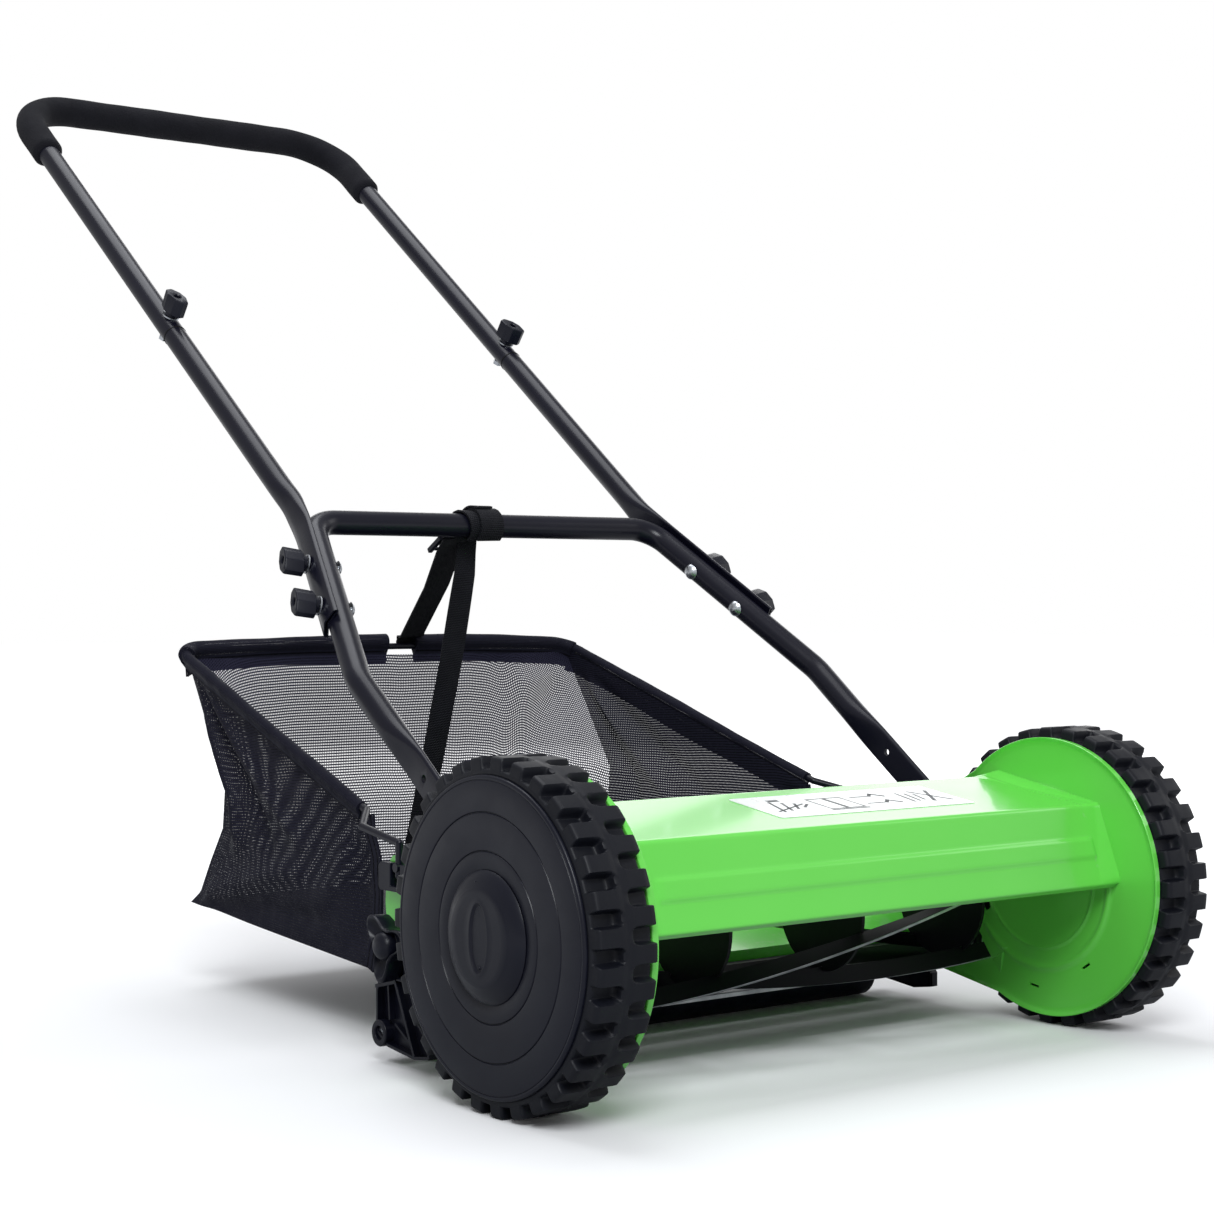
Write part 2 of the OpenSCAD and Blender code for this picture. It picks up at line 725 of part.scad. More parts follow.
module catcher_frame() {
    shoulder = [233, bag_front, rim_front_z];
    color(black) {
        translate([0, bag_front, rim_front_z]) rotate([rim_rise, 0, 0])
            bent_bar([[-233, 0], [-216, rim_len], [216, rim_len], [233, 0]], 25, wire_r);
        both_sides() {
            translate(shoulder) sphere(r = wire_r + swell, $fn = 24);
            rod(shoulder, [hook_x, 234, 172], wire_r);
            rod([hook_x, 234, 172], [hook_x, hook_y, 164], wire_r);
            rod([hook_x, hook_y, 164], [hook_x, hook_y, 140], wire_r);
            // barrel that turns in the hanger's slot
            bar_x(hook_x - 3.9, hook_x + 3.9, hook_y, hook_z, wire_r + 0.4);
        }
    }
}

module bag_form(grow, up, forward) {
    hull() {
        for (s = [-1, 1]) {
            translate([s * (222 + grow), bag_front + 6 - forward, bag_floor - grow]) cube(0.01, center = true);
            translate([s * (203 + grow), bag_rear - 6 + grow, bag_floor + 14 - grow]) cube(0.01, center = true);
            translate([s * (226 + grow), bag_front + 6 - forward, rim_front_z - 8 + up]) cube(0.01, center = true);
            translate([s * (207 + grow), bag_rear - 2 + grow, rim_rear_z - 10 + up]) cube(0.01, center = true);
        }
    }
}
module catcher_bag() {
    color([0.2, 0.2, 0.22]) difference() {
        bag_form(bag_wall, 0, 0);
        bag_form(0, 40, 20);
    }
}

// A flat strap from point a to point b, its width along X
module flat_strap(a, b, width, thick) {
    n = left_of(unit([b[1] - a[1], b[2] - a[2]])) * thick / 2;
    side = [width / 2, 0, 0];
    face = [0, n[0], n[1]];
    polyhedron(
        [for (end = [a, b]) for (c = [-side - face, side - face, side + face, -side + face]) end + c],
        [[0, 1, 2, 3], [7, 6, 5, 4], [0, 4, 5, 1], [1, 5, 6, 2], [2, 6, 7, 3], [3, 7, 4, 0]]
    );
}

strap_top = [pivot_y + crossbar_s * cos(handle_slope), pivot_z + crossbar_s * sin(handle_slope)];
rear_strap_start = [-30, strap_top[0] + 12, strap_top[1] - 9];
rear_strap_end = [26, 598, 309];
lift_strap_start = [-15, strap_top[0] + 2, strap_top[1] - 15];
lift_strap_end = [-22, 540, 73];
buckle_share = 0.092;                 // how far down the rear strap its buckle sits
module rear_strap() {
    color([0.1, 0.1, 0.11]) flat_strap(rear_strap_start, rear_strap_end, 25, 3);
}
module lift_strap() {
    color([0.1, 0.1, 0.11]) flat_strap(lift_strap_start, lift_strap_end, 20, 3);
}
module strap_buckle() {
    run = rear_strap_end - rear_strap_start;
    color(black) translate(rear_strap_start + buckle_share * run)
        rotate([atan2(run[2], run[1]), 0, 0]) translate([0, 0, 3.1]) difference() {
            cube([34, 22, 3], center = true);
            for (y = [-5, 5]) translate([0, y, 0]) cube([26, 4, 5], center = true);
        }
}

// ---- assembly ----

side_plate_right();
side_plate_left();
cover();
rear_apron();
front_tie_rod();
axle_studs();
stud_clips();
reel_bearings();
deck_screws();
cover_label();
handle_pivots();
bedknife_pivots();
bedknife_adjusters();
catcher_hangers();
height_bolts();
bedknife_bar();
bedknife_blade();
bedknife_rivets();
reel_shaft();
reel_spiders();
reel_blades();
drive_pinions();
drive_pawls();
pinion_clips();
tyre_right();
tyre_left();
wheel_disc_right();
wheel_disc_left();
ring_gear_right();
ring_gear_left();
wheel_bush_right();
wheel_bush_left();
hub_cap_right();
hub_cap_left();
roller_arms();
roller_axle();
roller();
height_knob_right();
height_knob_left();
lower_frame();
mid_tube_right();
mid_tube_left();
upper_handle();
foam_grip();
clamp_bolts();
seam_bolts();
knob_washers();
seam_knob_right();
seam_knob_left();
clamp_knob_upper_right();
clamp_knob_upper_left();
clamp_knob_lower_right();
clamp_knob_lower_left();
catcher_frame();
catcher_bag();
rear_strap();
lift_strap();
strap_buckle();
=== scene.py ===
import json
import bmesh
import bpy
import numpy as np
from math import acos, atan2, ceil, cos, hypot, pi, radians, sin, sqrt, tan
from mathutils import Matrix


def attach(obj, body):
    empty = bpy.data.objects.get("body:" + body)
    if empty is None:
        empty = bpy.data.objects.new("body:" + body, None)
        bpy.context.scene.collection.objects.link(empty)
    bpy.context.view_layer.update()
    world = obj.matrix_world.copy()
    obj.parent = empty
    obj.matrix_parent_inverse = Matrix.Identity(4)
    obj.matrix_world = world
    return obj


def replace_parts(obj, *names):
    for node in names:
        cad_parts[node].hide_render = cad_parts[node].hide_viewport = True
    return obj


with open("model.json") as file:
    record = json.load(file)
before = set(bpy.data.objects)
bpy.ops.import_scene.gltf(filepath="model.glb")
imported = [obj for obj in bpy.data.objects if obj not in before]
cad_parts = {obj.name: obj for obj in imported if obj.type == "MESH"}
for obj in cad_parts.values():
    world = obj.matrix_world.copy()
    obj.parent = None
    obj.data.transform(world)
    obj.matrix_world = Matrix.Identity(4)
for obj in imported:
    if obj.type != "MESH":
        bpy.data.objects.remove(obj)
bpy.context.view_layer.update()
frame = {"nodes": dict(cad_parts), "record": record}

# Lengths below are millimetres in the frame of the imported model: the ground is z = 0, the axle runs
# along X above the origin and the mower is pushed towards -Y. The operator's right is -X.
MM = 0.001
SIDES = {"right": -1, "left": 1}
AXLE_Z = 120
PLATE_IN = 247.5
PLATE_T = 2.5
REEL_Y, REEL_Z, REEL_R = 72, 99, 58
PIVOT_Y, PIVOT_Z = 104, 160.2
SLOPE = radians(37)


# ---- shapes: each is a pair of points and faces ----

def around(n):
    """n angles evenly spaced round a full turn."""
    return np.linspace(0, 2 * pi, n, endpoint=False)


def joined(*shapes):
    points, faces, start = [], [], 0
    for p, f in shapes:
        points.append(np.asarray(p, float))
        faces += [tuple(i + start for i in face) for face in f]
        start += len(p)
    return np.vstack(points), faces


def moved(shape, function):
    """The shape with each of its points put through the function."""
    return np.array([function(p) for p in shape[0]]), shape[1]


def sided(shape, side_name):
    """The shape on its side of the machine: mirrored in X on the right."""
    return shape[0] * np.array([SIDES[side_name], 1, 1]), shape[1]


def skin(rings, close=False, caps=True):
    """A skin over rings of equal length. close joins the last ring to the first."""
    n = len(rings[0])
    faces = []
    for i in range(len(rings) if close else len(rings) - 1):
        a, b = i * n, (i + 1) % len(rings) * n
        faces += [(a + j, a + (j + 1) % n, b + (j + 1) % n, b + j) for j in range(n)]
    if caps and not close:
        faces += [tuple(range(n))[::-1], tuple(range((len(rings) - 1) * n, len(rings) * n))]
    return np.vstack(rings), faces


def turned(profile, segments):
    """An outline of (radius, x) turned about the wheel axle."""
    return skin([ring_x(x, circle(r, segments) + (0, AXLE_Z)) for r, x in profile], close=True)


def ring_x(x, outline):
    """An outline of (y, z) points set at x."""
    return np.c_[np.full(len(outline), x), np.asarray(outline, float)]


def prism_x(outline, x0, x1):
    """A (y, z) outline carried from x0 to x1."""
    return skin([ring_x(x, outline) for x in (x0, x1)])


def circle(radius, n=24):
    a = around(n)
    return np.c_[radius * np.cos(a), radius * np.sin(a)]


def unit(v):
    return v / np.linalg.norm(v)


def rounded(points, radii, steps=10):
    """A line through the points with its corners rounded to the given radii."""
    p = [np.asarray(q, float) for q in points]
    out = [p[0]]
    for i in range(1, len(p) - 1):
        a, b = unit(p[i - 1] - p[i]), unit(p[i + 1] - p[i])
        half = acos(np.clip(a @ b, -1, 1)) / 2
        cut = radii[i - 1] / tan(half)
        centre = p[i] + unit(a + b) * radii[i - 1] / sin(half)
        start, end = p[i] + a * cut - centre, p[i] + b * cut - centre
        sweep = pi - 2 * half
        for k in range(steps + 1):
            t = k / steps
            out.append(centre + (start * sin((1 - t) * sweep) + end * sin(t * sweep)) / sin(sweep))
    return np.array(out + [p[-1]])


def spaced(path, step):
    """The path with points added so that none are further apart than step."""
    out = [path[0]]
    for a, b in zip(path[:-1], path[1:]):
        n = max(1, ceil(np.linalg.norm(b - a) / step))
        out += [a + (b - a) * k / n for k in range(1, n + 1)]
    return np.array(out)


def swept(path, section, up, caps=True):
    """section(i, distance) gives (side, up) points, carried along the path. up is the plane's normal."""
    path = np.asarray(path, float)
    step = np.diff(path, axis=0)
    run = np.r_[0, np.cumsum(np.linalg.norm(step, axis=1))]
    tangent = np.vstack([step[:1], step[:-1] + step[1:], step[-1:]])
    rings = []
    for i, p in enumerate(path):
        t = unit(tangent[i])
        side = unit(np.cross(t, up))
        top = np.cross(side, t)
        s = np.asarray(section(i, run[i]), float)
        rings.append(p + s[:, :1] * side + s[:, 1:] * top)
    return skin(rings, caps=caps)


def smooth(t):
    t = np.clip(t, 0, 1)
    return t * t * (3 - 2 * t)


def on_slope(y, z, slope, x, s, n):
    """A point s up a slope that starts at (y, z), and n out of it."""
    return np.array([x, y + s * cos(slope) - n * sin(slope), z + s * sin(slope) + n * cos(slope)])


def in_handle(x, s, n=0.0):
    """A point of the handle's plane: x across, s up the slope from the pivot, n out of the top."""
    return on_slope(PIVOT_Y, PIVOT_Z, SLOPE, x, s, n)


# ---- pieces ----

def new_mesh(name, shape):
    mesh = bpy.data.meshes.new(name)
    mesh.from_pydata([tuple(p * MM) for p in shape[0]], [], shape[1])
    return mesh


def face_outwards(mesh):
    work = bmesh.new()
    work.from_mesh(mesh)
    bmesh.ops.recalc_face_normals(work, faces=work.faces)
    work.to_mesh(mesh)
    work.free()


def in_scene(name, data):
    obj = bpy.data.objects.new(name, data)
    bpy.context.scene.collection.objects.link(obj)
    return obj


def soften(mesh, crease):
    """Smooth shading, but for edges sharper than the crease."""
    mesh.shade_smooth()
    mesh.set_sharp_from_angle(angle=radians(crease))


def make(name, shape, body, slot, extra=None, crease=32, bevel=0.0, replaces=(), pick=None, uv=None):
    """A piece in the scene, in its slot's material or in the extra one. In a piece with both,
    pick(face index) is 1 where a face takes the extra one. uv is a point for each vertex."""
    mesh = new_mesh(name, shape)
    if uv is not None:
        layer = mesh.uv_layers.new(name="cloth")
        corners = np.zeros(len(mesh.loops), np.int32)
        mesh.loops.foreach_get("vertex_index", corners)
        layer.data.foreach_set("uv", (np.asarray(uv)[corners] * MM).astype(np.float32).ravel())
    else:
        face_outwards(mesh)
    if pick or not extra:
        mesh.materials.append(M[slot])
    if extra:
        mesh.materials.append(M[extra])
    if pick:
        mesh.polygons.foreach_set("material_index", [pick(i) for i in range(len(mesh.polygons))])
    soften(mesh, crease)
    obj = in_scene(name, mesh)
    if bevel:
        rounding = obj.modifiers.new("rounding", "BEVEL")
        rounding.width = bevel * MM
        rounding.segments = 2
        rounding.limit_method = "ANGLE"
        rounding.angle_limit = radians(crease)
        rounding.harden_normals = True
    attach(obj, body)
    if replaces:
        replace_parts(obj, *replaces)
    return obj


def pair(name, shape, body, slot, node=None, **options):
    """A piece on each side, from the left one's shape. Names that end in _ get the side's name."""
    pieces = []
    for side_name in SIDES:
        nodes = [node + side_name] if node else []
        its_body = body + side_name if body.endswith("_") else body
        name_here = name + "_" + side_name
        pieces.append(make(name_here, sided(shape, side_name), its_body, slot, replaces=nodes, **options))
    return pieces


def cut_away(obj, *shapes):
    """Cuts the shapes out of a piece, as a punch would, and keeps the result as its mesh."""
    for shape in shapes:
        mesh = new_mesh("punch", shape)
        face_outwards(mesh)
        punch = in_scene("punch", mesh)
        boolean = obj.modifiers.new("punch", "BOOLEAN")
        boolean.object = punch
        boolean.solver = "EXACT"
        bpy.context.view_layer.update()
        evaluated = obj.evaluated_get(bpy.context.evaluated_depsgraph_get())
        cut = bpy.data.meshes.new_from_object(evaluated)
        obj.modifiers.clear()
        obj.data = cut
        bpy.data.objects.remove(punch)
    soften(obj.data, 32)


# ---- materials ----

# The materials by name: the record's slots and a few more.
M = {}


class Nodes:
    """A material's node tree, with short ways to add to it."""

    def __init__(self, name):
        self.name = name
        self.material = bpy.data.materials.new(name)
        self.material.use_nodes = True
        self.tree = self.material.node_tree
        self.shader = self.tree.nodes["Principled BSDF"]
        self.place = self.tree.nodes.new("ShaderNodeTexCoord").outputs["Object"]

    def put(self, socket, value):
        if isinstance(value, bpy.types.NodeSocket):
            self.tree.links.new(value, socket)
        else:
            socket.default_value = value

    def add(self, kind, feeds=(), **values):
        """A node with its values set and then its inputs fed, by name or by place."""
        node = self.tree.nodes.new(kind)
        for key, value in values.items():
            setattr(node, key, value)
        for key, value in dict(feeds).items():
            self.put(node.inputs[key], value)
        return node

    def noise(self, scale, detail):
        feeds = {"Vector": self.place, "Scale": scale, "Detail": detail, "Roughness": 0.55}
        return self.add("ShaderNodeTexNoise", feeds).outputs["Fac"]

    def math(self, operation, a, b=0.0, c=0.0, clamp=False):
        node = self.add("ShaderNodeMath", enumerate((a, b, c)), operation=operation, use_clamp=clamp)
        return node.outputs[0]

    def spread(self, value, low, high, to_low=0.0, to_high=1.0):
        feeds = enumerate((value, low, high, to_low, to_high))
        return self.add("ShaderNodeMapRange", feeds, clamp=True).outputs[0]

    def vary(self, scale, detail, *limits):
        """Noise spread between limits, as in spread()."""
        return self.spread(self.noise(scale, detail), *limits)

    def blend(self, factor, a, b):
        return self.add("ShaderNodeMix", {0: factor, 6: a, 7: b}, data_type="RGBA").outputs[2]

    def bump(self, height, distance, strength, normal=None):
        feeds = {"Height": height, "Distance": distance, "Strength": strength}
        if normal:
            feeds["Normal"] = normal
        return self.add("ShaderNodeBump", feeds).outputs["Normal"]

    def edges(self, low, high):
        """1 on worn convex edges, 0 elsewhere."""
        point = self.add("ShaderNodeNewGeometry").outputs["Pointiness"]
        return self.spread(point, low, high)

    def cloth(self):
        """Place on the flat cloth: across and along, in metres."""
        uv = self.add("ShaderNodeUVMap", uv_map="cloth").outputs[0]
        return self.add("ShaderNodeSeparateXYZ", {0: uv}).outputs[:2]

    def use(self, color, rough, **others):
        """Feeds the shader, with _ for a space in a socket's name, and keeps the material in M."""
        for key, value in {"Base Color": color, "Roughness": rough, **others}.items():
            self.put(self.shader.inputs[key.replace("_", " ")], value)
        M[self.name] = self.material


def rgb(red, green, blue):
    """A colour from its screen values, 0 to 255."""
    return tuple(((v / 255 + 0.055) / 1.055) ** 2.4 for v in (red, green, blue)) + (1.0,)


def painted(name, color, shade, rough, peel, wear_color, coat=0, specular=0.5):
    """Sprayed paint: orange peel, uneven tone and gloss, and worn edges."""
    n = Nodes(name)
    broad = n.noise(5, 4)
    tint = n.blend(n.spread(broad, 0.35, 0.7), color, shade)
    worn = n.math("MULTIPLY", n.edges(0.58, 0.68), n.vary(160, 4, 0.55, 0.66))
    tint = n.blend(n.math("MULTIPLY", worn, 0.3), tint, wear_color)
    gloss = n.vary(14, 4, 0.3, 0.75, rough * 0.88, rough * 1.15)
    fine = n.bump(n.noise(420, 2), 0.00006, peel)
    wave = n.bump(n.noise(20, 2), 0.0003, peel * 0.5, fine)
    n.use(tint, gloss, Normal=wave, Coat_Weight=coat, Coat_Roughness=0.08, Specular_IOR_Level=specular)


def moulded(name, color, shade, rough, grain):
    """Moulded plastic: fine spark texture, flow marks and pale scuffed edges."""
    n = Nodes(name)
    flow = n.noise(9, 5)
    tint = n.blend(n.spread(flow, 0.3, 0.75), color, shade)
    scuff = n.math("MULTIPLY", n.edges(0.55, 0.66), n.vary(90, 5, 0.42, 0.62))
    tint = n.blend(n.math("MULTIPLY", scuff, 0.25), tint, rgb(52, 55, 68))
    gloss = n.vary(45, 5, 0.3, 0.7, rough * 0.85, rough * 1.2)
    spark = n.bump(n.noise(900, 2), 0.00008, grain)
    marks = n.bump(flow, 0.0006, grain * 0.5, spark)
    n.use(tint, gloss, Normal=marks, Specular_IOR_Level=0.28)


def zinc_steel():
    """Bright plated steel with dull spots and a fine grain."""
    n = Nodes("zinc_steel")
    spots = n.noise(140, 4)
    tint = n.blend(n.spread(spots, 0.4, 0.65), rgb(205, 208, 212), rgb(160, 164, 170))
    gloss = n.vary(60, 5, 0.3, 0.7, 0.2, 0.42)
    grain = n.bump(n.noise(700, 3), 0.00005, 0.5)
    n.use(tint, gloss, Metallic=1, Normal=grain)


def blade_steel():
    """Ground steel with a fine grain."""
    n = Nodes("blade_steel")
    line = n.noise(1500, 2)
    tint = n.blend(n.vary(50, 4, 0.35, 0.7), rgb(196, 197, 198), rgb(140, 142, 145))
    gloss = n.spread(line, 0.3, 0.7, 0.25, 0.45)
    n.use(tint, gloss, Metallic=1, Normal=n.bump(line, 0.00005, 0.6))


def label_film():
    n = Nodes("label_film")
    tint = n.blend(n.vary(30, 4, 0.35, 0.7), rgb(238, 240, 238), rgb(226, 230, 227))
    gloss = n.vary(70, 3, 0.3, 0.7, 0.22, 0.38)
    n.use(tint, gloss, Normal=n.bump(n.noise(60, 3), 0.0002, 0.3), Coat_Weight=0.3)


def label_ink():
    n = Nodes("label_ink")
    tint = n.blend(n.vary(900, 2, 0.4, 0.6), rgb(62, 66, 68), rgb(84, 88, 90))
    n.use(tint, n.vary(70, 3, 0.3, 0.7, 0.4, 0.55), Specular_IOR_Level=0.3)


def grip_foam():
    """Closed-cell foam: matt, with fine cells, painted shade in their pits, and slight dents."""
    n = Nodes("grip_foam")
    cells = n.add("ShaderNodeTexVoronoi", {"Vector": n.place, "Scale": 850.0}).outputs["Distance"]
    tint = n.blend(n.vary(22, 5, 0.3, 0.75), rgb(19, 19, 24), rgb(27, 27, 33))
    # Darker in the pits of the cells, where the bump below sinks: painted shade.
    tint = n.blend(n.spread(cells, 0.5, 0, 0, 0.35), tint, rgb(10, 10, 12))
    pits = n.bump(cells, 0.0005, 0.7)
    dents = n.bump(n.noise(35, 3), 0.002, 0.35, pits)
    gloss = n.vary(60, 4, 0.3, 0.7, 0.82, 0.97)
    n.use(tint, gloss, Normal=dents, Sheen_Weight=0.02, Sheen_Roughness=0.5, Specular_IOR_Level=0.15)


def webbing():
    """Woven strap: ribs across it and slanting yarn, with painted shade in the hollows of the weave."""
    n = Nodes("webbing")
    u, v = n.cloth()
    rib = n.math("SINE", n.math("MULTIPLY", v, 2 * pi / 0.0016))
    yarn = n.math("MULTIPLY_ADD", u, 2 * pi / 0.0022, n.math("MULTIPLY", v, 2 * pi / 0.0032))
    yarn = n.math("SINE", yarn)
    weave = n.math("MULTIPLY_ADD", rib, 0.6, n.math("MULTIPLY", yarn, 0.4))
    # Darker where the weave dips and lighter on its ribs, following the bump: painted shade.
    tint = n.blend(n.spread(weave, -0.8, 0.8), rgb(8, 8, 12), rgb(20, 21, 29))
    tint = n.blend(n.vary(25, 4, 0.5, 0.8, 0, 0.4), tint, rgb(28, 29, 38))
    gloss = n.vary(80, 3, 0.3, 0.7, 0.6, 0.78)
    normal = n.bump(weave, 0.0004, 0.8)
    n.use(tint, gloss, Normal=normal, Sheen_Weight=0.02, Sheen_Roughness=0.4, Specular_IOR_Level=0.2)


def mesh_fabric(name, closed, open_share, tone, tone_2, pitch=0.0026):
    """Knitted mesh: rows of thread and zigzags between them, with holes where neither runs.
    closed is how far a thread spreads and open_share how clear a hole is."""
    n = Nodes(name)
    u, v = n.cloth()
    drift = n.noise(45, 3)
    v = n.math("MULTIPLY_ADD", drift, pitch * 0.1, v)
    row = n.math("PINGPONG", v, pitch / 2)
    thread_row = n.spread(row, pitch * closed * 0.42, pitch * (closed * 0.42 + 0.12), 1, 0)
    shift = n.math("MULTIPLY", n.math("FLOOR", n.math("DIVIDE", v, pitch)), pitch * 0.37)
    wale = n.math("PINGPONG", n.math("ADD", u, shift), pitch * 0.36)
    thread_wale = n.spread(wale, pitch * closed * 0.26, pitch * (closed * 0.26 + 0.1), 1, 0)
    thread = n.math("MAXIMUM", thread_row, thread_wale)
    cover = n.math("MULTIPLY_ADD", n.math("SUBTRACT", 1, thread), -open_share, 1, clamp=True)
    tint = n.blend(n.vary(14, 4, 0.35, 0.7), tone, tone_2)
    tint = n.blend(n.spread(thread_row, 0, 1, 0, 0.5), tint, rgb(44, 44, 60))
    gloss = n.vary(70, 3, 0.3, 0.7, 0.55, 0.75)
    normal = n.bump(thread, 0.0005, 0.7)
    n.use(tint, gloss, Alpha=cover, Normal=normal, Sheen_Weight=0, Specular_IOR_Level=0.08)


def make_materials():
    painted("green_paint", rgb(108, 217, 82), rgb(103, 214, 77), 0.24, 0.12, rgb(140, 205, 125), 0.5)
    painted("tube_paint", rgb(16, 16, 30), rgb(13, 13, 25), 0.3, 0.02, rgb(30, 30, 44), 0, 0.34)
    painted("black_paint", rgb(10, 10, 14), rgb(6, 7, 10), 0.45, 0.4, rgb(36, 36, 42), 0, 0.2)
    moulded("black_plastic", rgb(16, 18, 31), rgb(13, 14, 25), 0.34, 0.25)
    moulded("tyre_rubber", rgb(13, 15, 24), rgb(9, 11, 18), 0.5, 0.45)
    moulded("bush_nylon", rgb(222, 218, 200), rgb(205, 198, 176), 0.45, 0.3)
    zinc_steel()
    blade_steel()
    label_film()
    label_ink()
    grip_foam()
    webbing()
    mesh_fabric("mesh_fabric", 0.52, 0.95, rgb(40, 39, 58), rgb(52, 51, 72))
    # The side walls' and floor's copy of the same knitted mesh is darker and denser than the rear's: its dark
    # thread tone is painted shade, not a different cloth.
    mesh_fabric("side_mesh_shaded", 0.76, 0.5, rgb(8, 8, 13), rgb(13, 13, 20))
    mesh_fabric("hem_mesh", 0.78, 0.8, rgb(7, 7, 11), rgb(12, 12, 18))


def paint_cad_nodes():
    """Gives every CAD node the material of its record slot."""
    for row in frame["record"]["subparts"]:
        mesh = frame["nodes"][row["node"]].data
        mesh.materials.clear()
        mesh.materials.append(M[row["material_slot"]])


# ---- camera, light and floor ----

def make_camera():
    data = bpy.data.cameras.new("camera")
    camera = in_scene("camera", data)
    camera.location = (-1.1695, -1.2588, 0.3472)
    camera.rotation_euler = (radians(90 - 0.31), 0, radians(-37.577))
    data.sensor_width = 36
    data.lens = 68.45
    data.clip_start = 0.05
    data.clip_end = 60
    bpy.context.scene.camera = camera


def softbox(name, place, aim, size, power, tint=(1, 1, 1)):
    data = bpy.data.lights.new(name, "AREA")
    data.shape = "RECTANGLE"
    data.size, data.size_y = size
    data.energy = power
    data.color = tint
    light = in_scene(name, data)
    light.location = place
    way = np.array(aim, float) - np.array(place, float)
    light.rotation_euler = (atan2(hypot(way[0], way[1]), -way[2]), 0, atan2(-way[0], way[1]))


def make_world():
    """White where the camera sees it and dimmer as a light."""
    world = bpy.data.worlds.new("studio")
    bpy.context.scene.world = world
    world.use_nodes = True
    nodes = world.node_tree.nodes
    white, dim = nodes["Background"], nodes.new("ShaderNodeBackground")
    for background, *color, strength in ((white, 1, 1, 1, 1), (dim, 0.97, 0.98, 1, 0.42)):
        background.inputs["Color"].default_value = (*color, 1)
        background.inputs["Strength"].default_value = strength
    seen, either = nodes.new("ShaderNodeLightPath"), nodes.new("ShaderNodeMixShader")
    outputs = (seen.outputs["Is Camera Ray"], dim.outputs[0], white.outputs[0], either.outputs[0])
    for output, socket in zip(outputs, (*either.inputs, nodes["World Output"].inputs["Surface"])):
        world.node_tree.links.new(output, socket)
    bpy.context.scene.view_settings.view_transform = "Standard"


def make_floor():
    """White paper that glows a little away from the machine."""
    half = 14000
    corners = np.array([(-half, -half, 0), (half, -half, 0), (half, half, 0), (-half, half, 0)])
    floor = in_scene("floor", new_mesh("floor", (corners, [(0, 1, 2, 3)])))
    n = Nodes("floor_paper")
    tint = n.blend(n.vary(1.2, 3, 0.3, 0.7), rgb(250, 250, 250), rgb(247, 247, 248))
    tint = n.blend(n.add("ShaderNodeLightPath").outputs["Is Camera Ray"], rgb(170, 172, 176), tint)
    away = n.add("ShaderNodeVectorMath", {0: n.place}, operation="LENGTH").outputs["Value"]
    glow = n.spread(away, 0.6, 2.6, 0, 0.62)
    n.use(tint, 0.9, Specular_IOR_Level=0.1, Emission_Color=(1, 1, 1, 1), Emission_Strength=glow)
    floor.data.materials.append(n.material)


def make_lights():
    softbox("key", (-1.5, -2, 2.3), (0, 0.1, 0.2), (1.3, 1.3), 70, (0.94, 0.97, 1))
    softbox("fill", (2.6, -0.8, 1.5), (0, 0.2, 0.3), (1.4, 1.4), 9)
    softbox("top", (0, 1, 2.8), (0, 0.3, 0.2), (1.8, 1.8), 34, (0.94, 0.96, 1))
    softbox("backdrop", (2.1, 2.5, 1.25), (0.1, 0, 0.2), (3, 1.7), 24)


# ---- wheels ----

LUGS = 31
TYRE_ROWS = [
    # x and radius on a lug, x and radius in a gap, share of the gap's width that is open
    (298.8, 104, 298.8, 104, 1), (298.8, 107.9, 298.8, 107.9, 1), (299.1, 108.6, 299.1, 108.6, 1),
    (299, 110.2, 299, 110.2, 1), (298.7, 110.9, 298.5, 111, 1), (298.6, 111.6, 297.6, 111.6, 1),
    (298.4, 116.6, 296.6, 111.7, 1), (297.8, 118.9, 295.6, 111.7, 1), (296.4, 119.8, 293.8, 111.6, 1),
    (293.5, 120, 291, 111.5, 1), (288.5, 120, 287.5, 111.5, 1), (284, 120, 283.5, 111.5, 1),
    (281.2, 120, 281.4, 111.6, 0.94), (280, 120, 280.2, 112.4, 0.84), (279, 119.9, 279.5, 115.2, 0.7),
    (278, 119.8, 278.9, 118.4, 0.55), (276.6, 119.6, 277.2, 119.3, 0.5), (274.8, 119.3, 274.8, 119.3, 0),
]


def lug_share(turn, row_phase, open_share):
    """1 on a lug and 0 in a gap, for a share of the turn."""
    f = (turn * LUGS + row_phase) % 1.0
    from_gap = np.abs(f - 0.5)
    edge = 0.235 * open_share
    return smooth((from_gap - edge + 0.055) / 0.075)


def tyres():
    stops = np.array([0.0, 0.09, 0.165, 0.19, 0.215, 0.24, 0.265, 0.29, 0.31, 0.335, 0.36, 0.42])
    stops = np.unique(np.r_[stops, 0.5, 1 - stops[1:]])
    turns = (np.arange(LUGS)[:, None] + stops[None, :]).ravel() / LUGS
    angle = turns * 2 * pi
    middle = 274.8
    rows = [(row, 0.0, False) for row in TYRE_ROWS]
    rows += [(row, 0.5, True) for row in TYRE_ROWS[-2::-1]]
    rings = []
    for (x_lug, r_lug, x_gap, r_gap, open_share), phase, inner in rows:
        m = lug_share(turns, phase, open_share) if open_share else np.ones(len(turns))
        x = x_gap + (x_lug - x_gap) * m
        r = r_gap + (r_lug - r_gap) * m
        x = 2 * middle - x if inner else x
        rings.append(np.c_[x, r * np.cos(angle), AXLE_Z + r * np.sin(angle)])
    pair("tread", skin(rings, close=True), "wheel_", "tyre_rubber", "tyre_", crease=48)


def groove(r, x, width=1.5, depth=0.8):
    return [(r + width, x), (r + width * 0.45, x - 0.12), (r + 0.15, x - depth), (r - 0.15, x - depth),
            (r - width * 0.45, x - 0.12), (r - width, x)]


